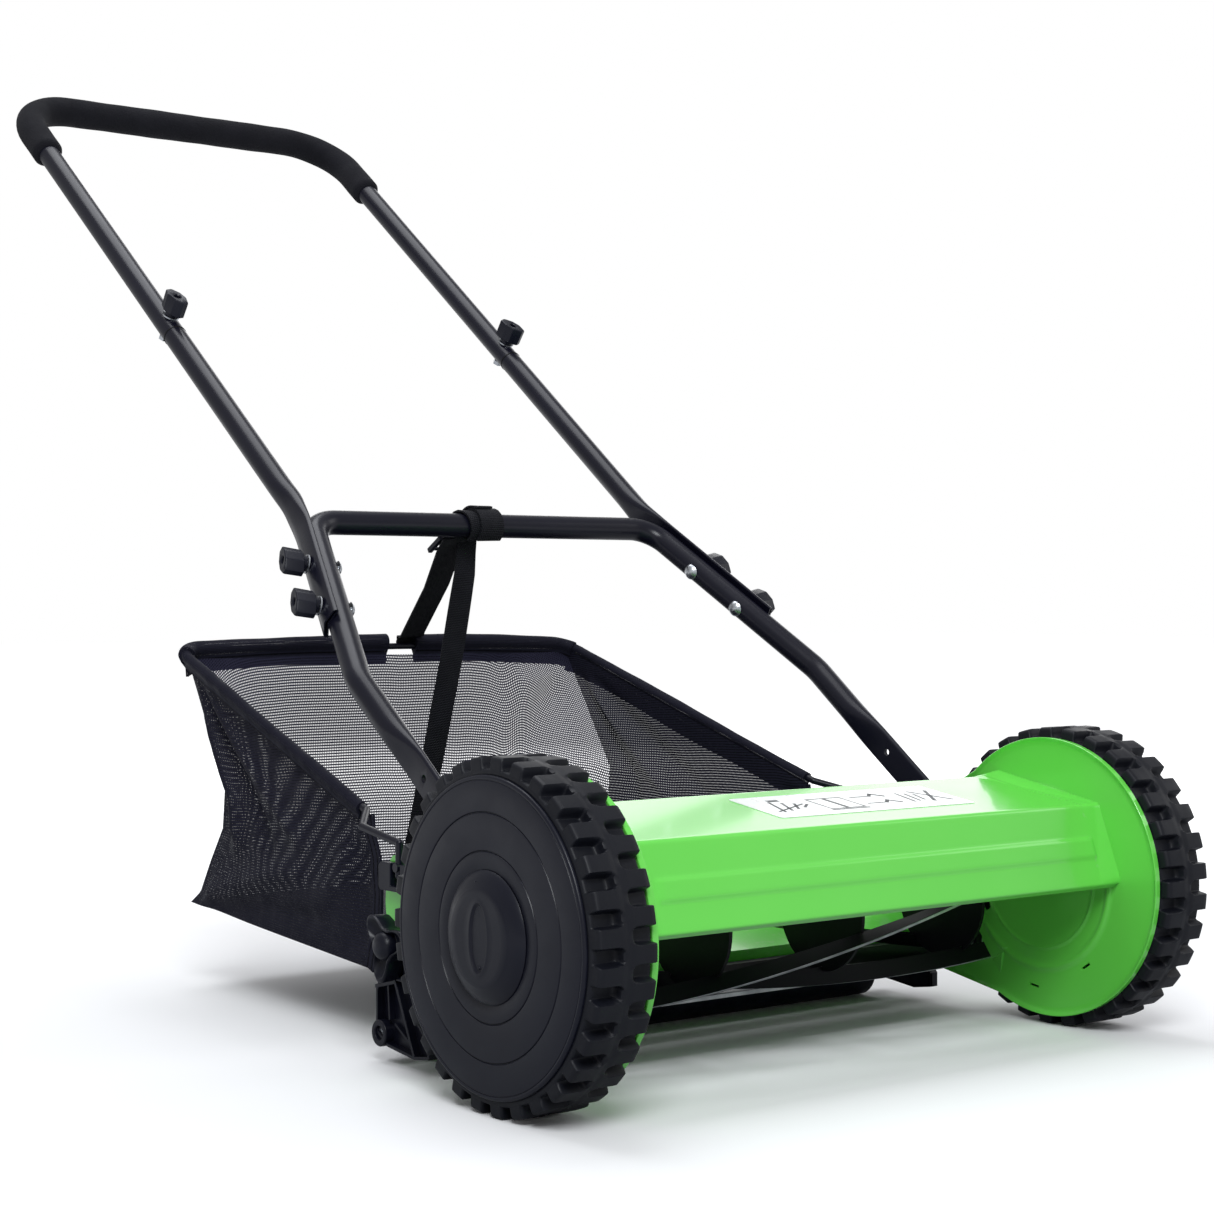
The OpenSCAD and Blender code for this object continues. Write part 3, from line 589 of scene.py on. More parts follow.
def wheel_discs():
    face, web, lip = 301.6, 296.6, 298.9
    profile = [(11, 254), (16, 254), (18, web), (98, web), (98, 252.8), (104, 252.8), (104, lip), (107.7, lip),
               (107.7, face - 1.4), (107.2, face - 0.5), (106.2, face)]
    for r, width, depth in ((104.4, 0.9, 0.5), (83, 1.5, 0.9), (57.2, 1.5, 0.9)):
        profile += groove(r, face, width, depth)
    profile += [(46.5, face), (45.4, face - 0.5), (11, face - 0.5)]
    pair("disc", turned(profile, 160), "wheel_", "black_plastic", "wheel_disc_", crease=40)


def hub_domes():
    """The hub caps: a dome with a flat top, and an upright oval recess with a small bead in it."""
    base = 301.62
    top = base + 7
    y, z = 10.2, 23.6
    rings = [(0.02, 0.02, -1.2), (0.5 * y, 0.5 * z, -1.3), (0.84 * y, 0.92 * z, -1.25),
             (0.93 * y, 0.96 * z, -0.7), (y, z, 0.15), (y + 0.8, z + 0.8, 0.25), (y + 1.7, z + 1.7, 0),
             (18, 27.5, 0), (26, 30, 0)]
    rings += [(r, r, x) for r, x in ((32.4, -0.05), (33.4, -0.5), (35.5, -1.3), (38.5, -2.4), (41.4, -3.9),
                                     (43.6, -5.6), (44.6, -6.6), (44.9, -7))]
    shape = skin([ring_x(top + x, circle(1, 96) * (p, q) + (0, AXLE_Z)) for p, q, x in rings])
    bead = bead_shape(1.5, (top - 1.2, 0, AXLE_Z - 19.5))
    mark = bead_shape(1.0, (top - 2.2, 5.5, AXLE_Z + 37.0))
    pair("hub", joined(shape, bead, mark), "wheel_", "black_plastic", "hub_cap_", crease=30)


def bead_shape(radius, centre):
    """A low round bead, its top towards +X."""
    x, y, z = centre
    turns = [k / 5 * pi / 2 for k in range(6)]
    return skin([ring_x(x + radius * 0.6 * sin(t), circle(radius * cos(t) + 0.01, 16) + (y, z))
                 for t in turns])


# ---- deck ----

RING_Y, RING_Z = 9, 118
PLATE_R = 112
PLATE_EDGE = [(30, 226), (98, 190), (124, 174), (198, 153), (206, 144), (208, 116), (206, 104), (195, 80),
              (195, 65), (187, 58), (140, 36), (40, 18)]


def plate_reach(angle):
    """Distance from the ring's centre to the side plate's edge: its round, or a corner past it."""
    y0, z0 = RING_Y, RING_Z
    dy, dz = cos(angle), sin(angle)
    rise = z0 - AXLE_Z
    b = y0 * dy + rise * dz
    reach = -b + sqrt(b * b - (y0 * y0 + rise * rise - PLATE_R ** 2))
    for (ay, az), (by, bz) in zip(PLATE_EDGE[:-1], PLATE_EDGE[1:]):
        det = dy * (az - bz) - dz * (ay - by)
        if abs(det) < 1e-9:
            continue
        t = ((ay - y0) * (az - bz) - (az - z0) * (ay - by)) / det
        u = (dy * (az - z0) - dz * (ay - y0)) / det
        if t > 0 and 0 <= u <= 1:
            reach = max(reach, t)
    return reach


def side_plates():
    """Pressed plates: rolled rim, raised ring and shallow inner circle, with two slots and a lanced tab."""
    n = 240
    angles = around(n)
    reach = np.array([plate_reach(a) for a in angles])
    inward = [(6, 0), (20, 0), (40, 0), (53, 0), (55.4, 0.1), (56.2, 0.6), (57, 0.6), (58, 0.1), (60, 0),
              (66, 0), (69, 0.1), (70.2, 0.7), (71.2, 1.2), (73.0, 1.2), (74.2, 0.7), (75.6, 0.1), (78, 0)]
    rim = [(12, 0), (7, 0), (4.4, 0.15), (2.9, 0.8), (1.8, 1.8), (1, 2.4), (0.3, 2.5), (0, 2.1), (0, 0)]

    def ring(radius, height):
        outline = np.c_[RING_Y + radius * np.cos(angles), RING_Z + radius * np.sin(angles)]
        return ring_x(PLATE_IN - height, outline)

    rings = [ring(np.full(n, 0.05), 0)] + [ring(np.full(n, float(r)), h) for r, h in inward]
    rings += [ring(reach - back, h) for back, h in rim]
    rings += [ring(reach - 0.1, -PLATE_T + 0.3), ring(reach - 0.5, -PLATE_T)]
    rings += [ring(np.full(n, r), -PLATE_T) for r in (78.0, 60.0, 20.0, 0.05)]
    plates = pair("plate", skin(rings), "chassis", "green_paint", "side_plate_", crease=50)
    for plate, side_name in zip(plates, SIDES):
        cut_away(plate, *[sided(slot_cut(*place), side_name) for place in ((14, 30, 8), (-40, 52, -34))])
    tab = [(PLATE_IN - 0.02, 46, 54), (PLATE_IN - 0.02, 60, 46), (PLATE_IN - 0.02, 50, 34),
           (PLATE_IN - 2.2, 47, 52), (PLATE_IN - 0.6, 58, 46), (PLATE_IN - 0.6, 50, 37)]
    faces = [(0, 1, 2), (3, 5, 4), (0, 3, 4, 1), (1, 4, 5, 2), (2, 5, 3, 0)]
    pair("lanced_tab", (np.array(tab, float), faces), "chassis", "green_paint", bevel=0.3)


def slot_cut(y, z, tilt):
    """A short slot, 10 long and 2 wide."""
    c, s = cos(radians(tilt)), sin(radians(tilt))
    outline = [(y + p * c - q * s, z + p * s + q * c) for p, q in ((-5, -1), (5, -1), (5, 1), (-5, 1))]
    return prism_x(outline, PLATE_IN - 4, PLATE_IN + PLATE_T + 2)


FOLD_Y, FOLD_Z = -52.8, 182.4
COVER = [(62, 190), (54.3, 198.3), (FOLD_Y, FOLD_Z), (-73.7, 121.6), (-68, 118)]
COVER_T = 1.8


def cover_section():
    """The cover's folded outline with rounded folds, and its distance from the front fold at each point."""
    line = spaced(rounded(COVER, [2.5, 4.5, 2.0], 6), 1.6)
    run = np.r_[0, np.cumsum(np.linalg.norm(np.diff(line, axis=0), axis=1))]
    fold = run[np.argmin(np.hypot(line[:, 0] - FOLD_Y, line[:, 1] - FOLD_Z))]
    step = np.gradient(line, axis=0)
    normal = np.c_[step[:, 1], -step[:, 0]]
    normal /= np.linalg.norm(normal, axis=1)[:, None]
    return line, run - fold, normal


def cover_relief(x, s):
    """How far the cover stands out: a long rib on its front face, and flares into the side plates."""
    ends = smooth((x + 210) / 5) * smooth((231 - x) / 5)
    rib = 1.6 * smooth((s - 25.5) / 1.8) * smooth((43 - s) / 1.8) * ends
    start = np.where(s < 0, 243 + s * 0.22, 243 - s * 0.28)
    reach = np.clip((np.abs(x) - start) / 6.0, 0, None)
    flare = np.minimum(0.9 * reach, 5.0) * np.where(s < 0, 1.0, 0.75) * smooth((66 - s) / 6)
    return rib + flare


def cover():
    line, s, normal = cover_section()
    end = PLATE_IN - 0.05
    near_end = np.r_[np.arange(206, 246, 2.2), end]
    xs = np.unique(np.r_[-near_end, np.arange(-200, 201, 10), near_end, [-211, -208.5, 225, 228, 231]])
    rings = []
    for x in xs:
        outer = line + normal * cover_relief(x, s)[:, None]
        inner = outer - normal * COVER_T
        rings.append(ring_x(x, np.vstack([outer, inner[::-1]])))
    make("deck_cover", skin(rings), "chassis", "green_paint", crease=38, replaces=["cover"])
    flange = [(53, 196), (-52.1, 180.2), (-72, 122.4), (-56, 126), (-38, 166), (50, 178)]
    pair("cover_flange", prism_x(flange, end - COVER_T, end), "chassis", "green_paint", bevel=0.4)


RISE = atan2(198.3 - FOLD_Z, 54.3 - FOLD_Y)


def on_cover(x, s, lift):
    """A point on the cover's top face, s back from the front fold."""
    return on_slope(FOLD_Y, FOLD_Z, RISE, x, s, lift)


def plate_on_cover(outline, low, high):
    """A flat shape on the cover's top face from an outline of (x, s)."""
    rings = [np.array([on_cover(x, s, h) for x, s in outline]) for h in (low, high)]
    return skin(rings)


def bar_outline(a, b, width):
    a, b = np.array(a, float), np.array(b, float)
    d = unit(b - a) * width / 2
    n = np.array([-d[1], d[0]])
    return [a - d + n, a - d - n, b + d - n, b + d + n]


def label():
    """Plain film with four generic marks in grey ink."""
    corner = 3
    outline = []
    for k, (x, s) in enumerate(((136, 87), (-58, 87), (-58, 32), (136, 32))):
        outline += [(x + corner * cos(t), s + corner * sin(t))
                    for t in np.linspace(k * pi / 2, (k + 1) * pi / 2, 5)]
    make("label", plate_on_cover(outline, 0.05, 0.4), "chassis", "label_film", replaces=["cover_label"])
    strokes = [(-44 + 9 * k, 44 + 3 * k, -36 + 9 * k, 72 - 4 * k, 2.4) for k in range(4)]
    strokes += [(-48, 46, -12, 62, 2), (-32, 76, -26, 76, 5)]
    for a, b in ((1, 17), (19, 35)):
        strokes += [(a, 43, b, 43, 1.6), (b, 43, b, 73, 1.6), (b, 73, a, 73, 1.6), (a, 73, a, 43, 1.6)]
    strokes.append((0, 40, 36, 40, 2.2))
    for s in (50, 70):
        strokes += [(45, s, 64, s, 2), (64, s, 70, s + 6, 3), (70, s + 6, 77, s - 2, 3.2)]
    strokes += [(90 + 7 * k, 46 + 2 * k, 94 + 7 * k, 72 - 3 * k, 2.2) for k in range(3)]
    strokes += [(110, 45, 128, 74, 3), (128, 45, 110, 74, 3)]
    marks = [plate_on_cover(bar_outline((x, s), end, width), 0.35, 0.46) for x, s, *end, width in strokes]
    make("label_marks", joined(*marks), "chassis", "label_film", "label_ink")


# ---- reel and bedknife ----

BLADES = 5
TWIST = radians(102)
PHASE = radians(213.4)
HALF_REEL = 222


def blades():
    """Helical blades: painted strips with a bright ground edge."""
    steps = 90
    shapes, counts = [], []
    for i in range(BLADES):
        rings = []
        for k in range(steps + 1):
            x = -HALF_REEL + 2 * HALF_REEL * k / steps
            a = PHASE - TWIST * x / (2 * HALF_REEL) + i * 2 * pi / BLADES
            out, across = np.array([cos(a), sin(a)]), np.array([-sin(a), cos(a)])
            section = [(REEL_R - 14, -1.3), (REEL_R - 14, 1.3), (REEL_R - 2.4, 1.3), (REEL_R - 0.3, 1.3),
                       (REEL_R, 0.9), (REEL_R, -1.0), (REEL_R - 0.3, -1.3), (REEL_R - 2.4, -1.3)]
            rings.append(ring_x(x, [(REEL_Y, REEL_Z) + r * out + w * across for r, w in section]))
        shape = skin(rings)
        shapes.append(shape)
        counts.append(len(shape[1]))
    sides = 8

    def pick(face):
        local = face % counts[0]
        return 1 if local < steps * sides and local % sides in (4, 5) else 0

    make("reel_strips", joined(*shapes), "reel", "black_paint", "blade_steel", crease=30,
         replaces=["reel_blades"], pick=pick)


# ---- handle ----

TUBE_R = 10.5
LEAN = radians(15)
UPPER_X = 188.5
FLAT_T = 4.4
FLAT_W = 28
FLAT_OFF = TUBE_R + 0.2 + FLAT_T / 2


def stadium(thick, width, n=32):
    """Outline of a flattened tube: thick across the run in its plane, wide along the plane's normal."""
    a = around(n)
    r = thick / 2
    reach = max(width / 2 - r, 0)
    up = r * np.sin(a) + reach * np.clip(np.sin(a) * 6, -1, 1)
    return np.c_[r * np.cos(a), up]


def raised(shape):
    """A shape drawn in the handle's plane, put in its place."""
    return moved(shape, lambda p: in_handle(*p))


def leg_x(s):
    """Distance of a lower leg's axis from the middle."""
    return 238.8 - tan(LEAN) * (s - 200)


def lower_frame():
    """The U-shaped lower frame: round tube pressed flat and dished at the pivots."""
    cross = 412
    corners = [(-237.3, -13), (-237.3, 118), (-238.8, 200), (-leg_x(cross), cross), (leg_x(cross), cross),
               (238.8, 200), (237.3, 118), (237.3, -13)]
    flat = spaced(rounded([(x, s, 0) for x, s in corners], [300, 55, 30, 30, 55, 300], 14), 6.0)
    tips = [-12.8, -12, -10.5, -8.5, -6, -3, 0]
    right, left = [(-237.3, s, 0) for s in tips], [(237.3, s, 0) for s in tips[::-1]]
    path = np.vstack([right, flat[flat[:, 1] > 1], left])

    def section(i, _):
        s = path[i, 1]
        t = smooth((s - 96) / 52)
        thick = 5.6 + (2 * TUBE_R - 5.6) * t
        width = 26 + (2 * TUBE_R - 26) * t
        if s < 0:
            width = max(2 * sqrt(max(169 - s * s, 1)), 5.7)
        outline = stadium(thick, width)
        dish = 1.2 * smooth((s - 8) / 20) * smooth((112 - s) / 26)
        outline[:, 0] *= 1 - dish / 2.8 * np.clip(1 - np.abs(outline[:, 1]) / 9, 0, 1)
        return outline

    shape = swept(path, section, (0, 0, 1))
    piece = make("lower_u", raised(shape), "handle", "tube_paint", crease=40, replaces=["lower_frame"])
    hole = skin([np.array([in_handle(x, 85 + s, n) for s, n in circle(3, 20)]) for x in (228, 246)])
    cut_away(piece, *[sided(hole, side_name) for side_name in SIDES])


def mid_tubes():
    """From the seam a round tube runs straight down, bends, and is pressed flat along the lower leg."""
    corner = np.array([UPPER_X, 437.6, 0.0])
    foot = np.array([232.5, 273.34, 0.0])
    path = spaced(rounded([(UPPER_X, 706, 0), corner, foot], [70], 12), 7.0)

    def outline(s, wall=0.0):
        t = smooth((s - 396) / 74)
        thick = FLAT_T + (2 * TUBE_R - FLAT_T) * t
        width = FLAT_W + (2 * TUBE_R - FLAT_W) * t
        points = stadium(thick - 2 * wall, width - 2 * wall)
        points[:, 0] += (1 - t) * points[:, 1] ** 2 / 44
        return points

    tube = swept(path, lambda i, _: outline(path[i, 1]), (0, 0, 1), caps=False)
    inside = spaced(np.array([foot, foot + (corner - foot) * 0.3]), 12.0)
    bore = swept(inside, lambda *_: outline(300, 1.2) * (-1, 1), (0, 0, 1), caps=False)
    points, faces = joined(tube, bore)
    n, start = 32, len(tube[0])
    faces += [(start - n + j, start - n + (j + 1) % n, start + (j + 1) % n, start + j) for j in range(n)]
    faces += [tuple(range(n)), tuple(range(len(points) - n, len(points)))]
    pair("mid_leg", raised((points, faces)), "handle", "tube_paint", "mid_tube_", crease=45)
    ring = skin([np.array([in_handle(UPPER_X + r * cos(a), s, r * sin(a)) for a in around(32)])
                 for r, s in ((10.3, 704.6), (10.9, 705.0), (10.9, 706.2), (10.3, 706.6))])
    pair("seam_ring", ring, "handle", "black_paint")


def grip():
    """Foam sleeve over the bar and both its bends, with soft rounded ends and slight waves."""
    x, s, start = UPPER_X, 1159.5, 1051.5
    path = spaced(rounded([(-x, start, 0), (-x, s, 0), (x, s, 0), (x, start, 0)], [62, 62], 16), 5.0)
    total = np.linalg.norm(np.diff(path, axis=0), axis=1).sum()

    def section(_, run):
        from_end = min(run, total - run)
        radius = 15 - 3.2 * (1 - sqrt(max(0, 1 - (1 - min(from_end / 3.2, 1)) ** 2)))
        radius += 0.16 * sin(run / 17.0) + 0.1 * sin(run / 6.3 + 1)
        return circle(radius, 40)

    shape = swept(path, section, (0, 0, 1))
    piece = make("grip_sleeve", raised(shape), "handle", "grip_foam", crease=60, replaces=["foam_grip"])


def wing_outline(scale, n=64):
    """A long hexagon with soft corners and slightly hollow flats."""
    a = around(n)
    c, s = np.abs(np.cos(a)), np.abs(np.sin(a))
    r = scale / np.maximum(np.maximum(c / 13, s / 7.5), (0.49 * c + 0.872 * s) / 8.9)
    return np.c_[r * np.cos(a), r * np.sin(a)]


def wing_knob_shape(height, bore=3.4):
    """A two-winged knob on a short neck, standing on z = 0: points are (x, y, z) in its own axes."""
    levels = [(circle(6.4, 64), 0), (circle(6.4, 64), 2.9)]
    for scale, z in ((0.9, 3), (0.98, 3.7), (1, height - 1.6), (0.97, height - 0.6), (0.88, height)):
        levels.append((wing_outline(scale), z))
    for r, z in ((5.6, 0), (bore + 0.8, 0.3), (bore, 1.2), (bore - 0.2, 6), (0.05, 6.2)):
        levels.append((circle(r, 64), height - z))
    return skin([np.c_[outline, np.full(64, z)] for outline, z in levels])


def spun(shape, degrees):
    """The shape turned about its own z axis."""
    c, s = cos(radians(degrees)), sin(radians(degrees))
    return moved(shape, lambda p: (p[0] * c - p[1] * s, p[0] * s + p[1] * c, p[2]))


def leg_frame(s):
    """Maps (across, along, up) about a point on the lower left leg at s to the row frame."""
    c, t = cos(LEAN), sin(LEAN)
    return lambda p: in_handle(leg_x(s) + p[0] * c - p[1] * t, s + p[0] * t + p[1] * c, p[2])


def knobs():
    tall = spun(wing_knob_shape(20), 102)
    clamp_start = FLAT_OFF + FLAT_T / 2 + 1.6
    for level, s in (("upper", 348), ("lower", 292)):
        place = leg_frame(s)
        shape = moved(tall, lambda p: place((clamp_start + p[2], p[1], -p[0])))
        node = f"clamp_knob_{level}_"
        pair("wing_" + level, shape, node, "black_plastic", node, crease=30)
    for side_name, turn in (("right", 72), ("left", 123)):
        low = spun(wing_knob_shape(20), turn)
        shape = moved(low, lambda p: in_handle(UPPER_X + p[0], 724 + p[1], TUBE_R + 1.6 + p[2]))
        knob = "seam_knob_" + side_name
        make("wing_seam_" + side_name, sided(shape, side_name), knob, "black_plastic", crease=30,
             replaces=[knob])


def height_knobs():
    """Knobs with three broad lobes round a dished face, and a dome in the middle."""
    start = 259.8
    n = 120
    a = around(n)
    lobe = 13 + 15.5 * np.abs(np.cos(1.5 * (a - radians(43)))) ** 3.4
    edge = ((0.9, 0), (0.96, 0.9), (1, 12.8), (0.98, 14.2), (0.93, 15), (0.88, 14.9))
    rows = [(lobe * k, x) for k, x in edge]
    rows += [(np.minimum(lobe * 0.8, 24), 12.8), (np.minimum(lobe * 0.72, 14.5), 9.6)]
    rows += [(11.6, 8.6), (11, 9), (10.9, 12.2), (10.4, 14.6), (9.2, 16.9), (7.2, 18.6), (4.4, 19.6)]
    rows.append((0.05, 20))
    rings = [ring_x(start + x, np.c_[173 + r * np.cos(a), 91 + r * np.sin(a)]) for r, x in rows]
    pair("lobe_knob", skin(rings), "height_knob_", "black_plastic", "height_knob_", crease=40)


# ---- brackets ----

def rim_wall(outline, thick, x0, x1):
    """A wall along a closed outline, thick towards its inside."""
    o = np.asarray(outline, float)
    ahead = np.roll(o, -1, 0) - o
    n2 = np.c_[-ahead[:, 1], ahead[:, 0]] / np.linalg.norm(ahead, axis=1)[:, None]
    n1 = np.roll(n2, 1, 0)
    inner = o + thick * (n1 + n2) / (1 + (n1 * n2).sum(1))[:, None]
    return skin([ring_x(x, line) for line, x in ((o, x0), (o, x1), (inner, x1), (inner, x0))], close=True)


def rib_box(a, b, thick, x0, x1):
    return prism_x(bar_outline(a, b, thick), x0, x1)


def height_brackets():
    """The roller's arms: ribbed mouldings with a tubular boss, slotted for the height bolt."""
    x0, x1 = 250.4, 259.4
    outline = [(134, 12), (154, 9), (190, 13), (206, 22), (206, 54), (197, 72), (192, 96), (187, 101),
               (162, 101), (156, 94), (156, 60), (150, 38), (134, 24)]
    back = prism_x(outline, x0, x0 + 3)
    wall = rim_wall(outline, 2.4, x0, x1)
    ribs = [rib_box((181, 64), (155, 12), 2.6, x0, x1), rib_box((191, 58), (189, 34), 2.0, x0, x1 - 1),
            rib_box((184, 30), (166, 20), 2.0, x0, x1 - 3), rib_box((206, 56), (181, 62), 2.6, x0, x1 + 0.1)]
    slot_edge = [(180.5, 93), (178, 98.5), (168, 98.5), (165.5, 93), (165.5, 69), (168, 63.5), (178, 63.5),
                 (180.5, 69)]
    track = rim_wall(slot_edge, 3.0, x0, x1)
    profile = ((5.2, 234), (9.3, 233.6), (10, 234.4), (10, 260.6), (9.3, 261.4), (6, 261.4), (5.2, 260.6))
    boss = skin([ring_x(x, circle(r, 40) + (199.4, 22)) for r, x in profile], close=True)
    arm = joined(back, wall, track, boss, *ribs)
    arms = pair("height_arm", arm, "roller_carriage", "black_plastic", bevel=0.4)
    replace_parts(arms[0], "roller_arms")


def hangers():
    """The brackets that the catcher's hooks drop into."""
    outline = [(160, 128), (203, 128), (205, 131), (205, 146), (202, 149), (188.5, 149), (188.5, 132),
               (175.5, 132), (175.5, 149), (163, 149), (160, 146)]
    shape = prism_x(outline, 250.05, 258)
    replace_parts(pair("hook_bracket", shape, "chassis", "black_plastic", bevel=0.8)[0], "catcher_hangers")


# ---- catcher ----

WIRE_FRONT = (262, 181)
WIRE_REAR = (606, 298)
FLOOR_FRONT_Z, FLOOR_REAR_Z = 56, 74


def wire_z(y):
    """Height of the catcher's wire frame at y."""
    (y0, z0), (y1, z1) = WIRE_FRONT, WIRE_REAR
    return z0 + (z1 - z0) * (y - y0) / (y1 - y0)


# Folds in a wall's own coordinates: from one point to another, how wide and how deep (below 0 is inwards).
SIDE_FOLDS = [
    ((0.99, 0.95), (0.86, 0.3), 0.035, 9), ((0.97, 0.92), (0.66, 0.36), 0.05, -8),
    ((0.95, 0.93), (0.45, 0.5), 0.06, 5), ((0.99, 0.02), (0.45, 0.35), 0.06, 6),
    ((0.97, 0.0), (0.3, 0.16), 0.05, -4), ((0.08, 0.05), (0.1, 0.8), 0.05, -4),
    ((0.03, 0.95), (0.3, 0.25), 0.05, 4),
]
REAR_FOLDS = [
    ((0.97, 0.9), (0.78, 0.15), 0.04, 10), ((0.9, 0.95), (0.68, 0.3), 0.05, -8),
    ((0.99, 0.1), (0.7, 0.45), 0.045, 9), ((0.02, 0.93), (0.22, 0.3), 0.05, -8),
    ((0.5, 0.05), (0.8, 0.3), 0.05, 4),
]


def creases(s, t, folds):
    """Ridges of cloth, each fading at both ends."""
    total = 0.0
    for a, b, width, depth in folds:
        d = np.subtract(b, a)
        along = ((s - a[0]) * d[0] + (t - a[1]) * d[1]) / (d @ d)
        off = ((s - a[0]) * d[1] - (t - a[1]) * d[0]) / np.linalg.norm(d)
        fade = smooth(along / 0.15) * smooth((1.15 - along) / 0.3)
        total = total + depth * np.exp(-(off / width) ** 2) * fade
    return total


def seam_y(t):
    """The bag's rear corner seams are slack and draw forward between top and bottom."""
    heights = [0.0, 0.05, 0.18, 0.32, 0.48, 0.66, 0.86, 1.0]
    return np.interp(t, heights, [592, 574, 556, 534, 531, 556, 584, 604])


def front_y(t):
    return np.interp(t, [0, 0.35, 0.7, 1.0], [271, 257, 255, 263])


def side_wall(u, t, side):
    """A point of a side wall: u from the front to the rear seam, t from the floor to the rim, 0 to 1."""
    y = front_y(t) + (seam_y(t) - front_y(t)) * u
    bottom = FLOOR_FRONT_Z + (FLOOR_REAR_Z - FLOOR_FRONT_Z) * u
    top = wire_z(front_y(1.0) + (seam_y(1.0) - front_y(1.0)) * u) - 4
    z = bottom + (top - bottom) * t
    x = 228 - 18 * u - (6 - 8 * u) * (1 - t)
    belly = 6 * np.sin(pi * u) * np.sin(pi * t)
    folds = creases(u, t, SIDE_FOLDS)
    ripple = 0.7 * np.sin(u * 23 + t * 9) * np.sin(t * 14 + 1) * np.sin(pi * t)
    at_seam = smooth((1 - u) / 0.07)
    folds, ripple = folds * at_seam, ripple * at_seam
    return np.stack([side * (x + belly + (folds if side < 0 else 0.8 * folds) + ripple), y, z], -1)


def rear_wall(u, t):
    """A point of the rear wall: u from the right seam (0) to the left seam (1)."""
    seam = seam_y(t)
    full = 604 + 3 * np.sin(pi * t)
    bulge = smooth(np.sin(pi * u) ** 0.7 * 1.25)
    y = seam + (full - seam) * bulge
    reach = 210 + 2 * (1 - t)
    x = -reach + 2 * reach * u
    z = FLOOR_REAR_Z + (wire_z(seam_y(1.0)) - 4 - FLOOR_REAR_Z) * t - 3 * np.sin(pi * u) * t ** 3
    folds = creases(u, t, REAR_FOLDS)
    ripple = 0.8 * np.sin(u * 31) * np.sin(t * 11 + u * 7) * np.sin(pi * t)
    inside = smooth(u / 0.06) * smooth((1 - u) / 0.06)
    return np.stack([x, y + (folds + ripple) * inside, z], -1)


def cloth_grid(function, across, up):
    """A cloth panel given as function(u, t): its shape, flat coordinates, and size in metres."""
    u, t = np.meshgrid(np.linspace(0, 1, across), np.linspace(0, 1, up))
    p = function(u, t)
    du = np.linalg.norm(np.diff(p, axis=1), axis=2)
    dt = np.linalg.norm(np.diff(p, axis=0), axis=2)
    flat_u = np.c_[np.zeros((up, 1)), np.cumsum(du, axis=1)]
    flat_t = np.r_[np.zeros((1, across)), np.cumsum(dt, axis=0)]
    faces = [(j * across + i, j * across + i + 1, (j + 1) * across + i + 1, (j + 1) * across + i)
             for j in range(up - 1) for i in range(across - 1)]
    flat = np.stack([flat_u, flat_t], -1).reshape(-1, 2)
    return (p.reshape(-1, 3), faces), flat, (du.sum(1).mean() * MM, dt.sum(0).mean() * MM)


def cloth_area(shape):
    points, faces = shape
    q = points[np.array(faces)]
    twice = np.linalg.norm(np.cross(q[:, 2] - q[:, 0], q[:, 3] - q[:, 1]), axis=1)
    return float((twice / 2).sum()) * MM * MM


def panel(name, function, across, up, material):
    shape, uv, (width, height) = cloth_grid(function, across, up)
    piece = make(name, shape, "catcher", "mesh_fabric", material, crease=180, uv=uv)
    area = min(cloth_area(shape), width * height)
    return piece


def floor_panel(u, t):
    """The bag's floor: u across, t from front to rear. It meets the walls along their lower edges."""
    right = side_wall(t, np.zeros_like(t), -1)[..., 0]
    left = side_wall(t, np.zeros_like(t), 1)[..., 0]
    x = right + (left - right) * u
    rear = rear_wall(u, np.zeros_like(u))[..., 1]
    y = 271 + (592 - 271) * t + (rear - 592) * smooth((t - 0.8) / 0.2)
    middle = np.sin(pi * u) * np.sin(pi * t)
    z = FLOOR_FRONT_Z + (FLOOR_REAR_Z - FLOOR_FRONT_Z) * t - 0.8 * middle
    z = z + 0.5 * np.sin(u * 26) * np.sin(t * 17) * middle
    return np.stack([x, y, z], -1)


def hem_section(width, bulge, thick):
    """A hem folded round the wire: round over the wire and flat below it. Points are (side, up)."""
    a = np.linspace(-0.15 * pi, 1.15 * pi, 20)
    top = [(bulge * cos(t), bulge * sin(t)) for t in a]
    left = [(-bulge * 0.7, -bulge * 0.9), (-thick, -width * 0.6), (-thick * 0.8, -width)]
    right = [(thick * 0.8, -width), (thick, -width * 0.6), (bulge * 0.7, -bulge * 0.9)]
    return np.array(top + left + right)


def hem(name, path, width, bulge, seed=0.0):
    """A sleeve of mesh round the catcher's wire along the path, with slow waves in it."""
    path = spaced(np.asarray(path, float), 3.0)

    def section(_, run):
        grow = 1 + 0.07 * sin(run / 37 + seed * 2) + 0.02 * sin(run / 9 + seed)
        return hem_section(width * (1 + 0.04 * sin(run / 31 + seed)), bulge * grow, 1.6)

    shape = swept(path, section, (0, 0, 1))
    n = 26
    run = np.repeat(np.arange(len(path)) * 3.0, n)
    round_it = np.tile(np.linspace(0, 70, n), len(path))
    return make(name, shape, "catcher", "mesh_fabric", "hem_mesh", crease=70, uv=np.c_[run, round_it])


def edge_binding(name, side):
    """The narrow bound edge at the front of a side wall."""
    path = np.array([side_wall(0.012, t, side) for t in np.linspace(0.0, 0.985, 40)])
    outline = np.array([(-6, -1.1), (6, -1.1), (6.6, 0), (6, 1.1), (-6, 1.1), (-6.6, 0)])
    shape = swept(path, lambda *_: outline, (1, 0, 0))
    run = np.repeat(np.arange(len(path)) * 5.0, 6)
    return make(name, shape, "catcher", "mesh_fabric", "hem_mesh", crease=60,
                uv=np.c_[run, np.tile(np.linspace(0, 26, 6), len(path))])


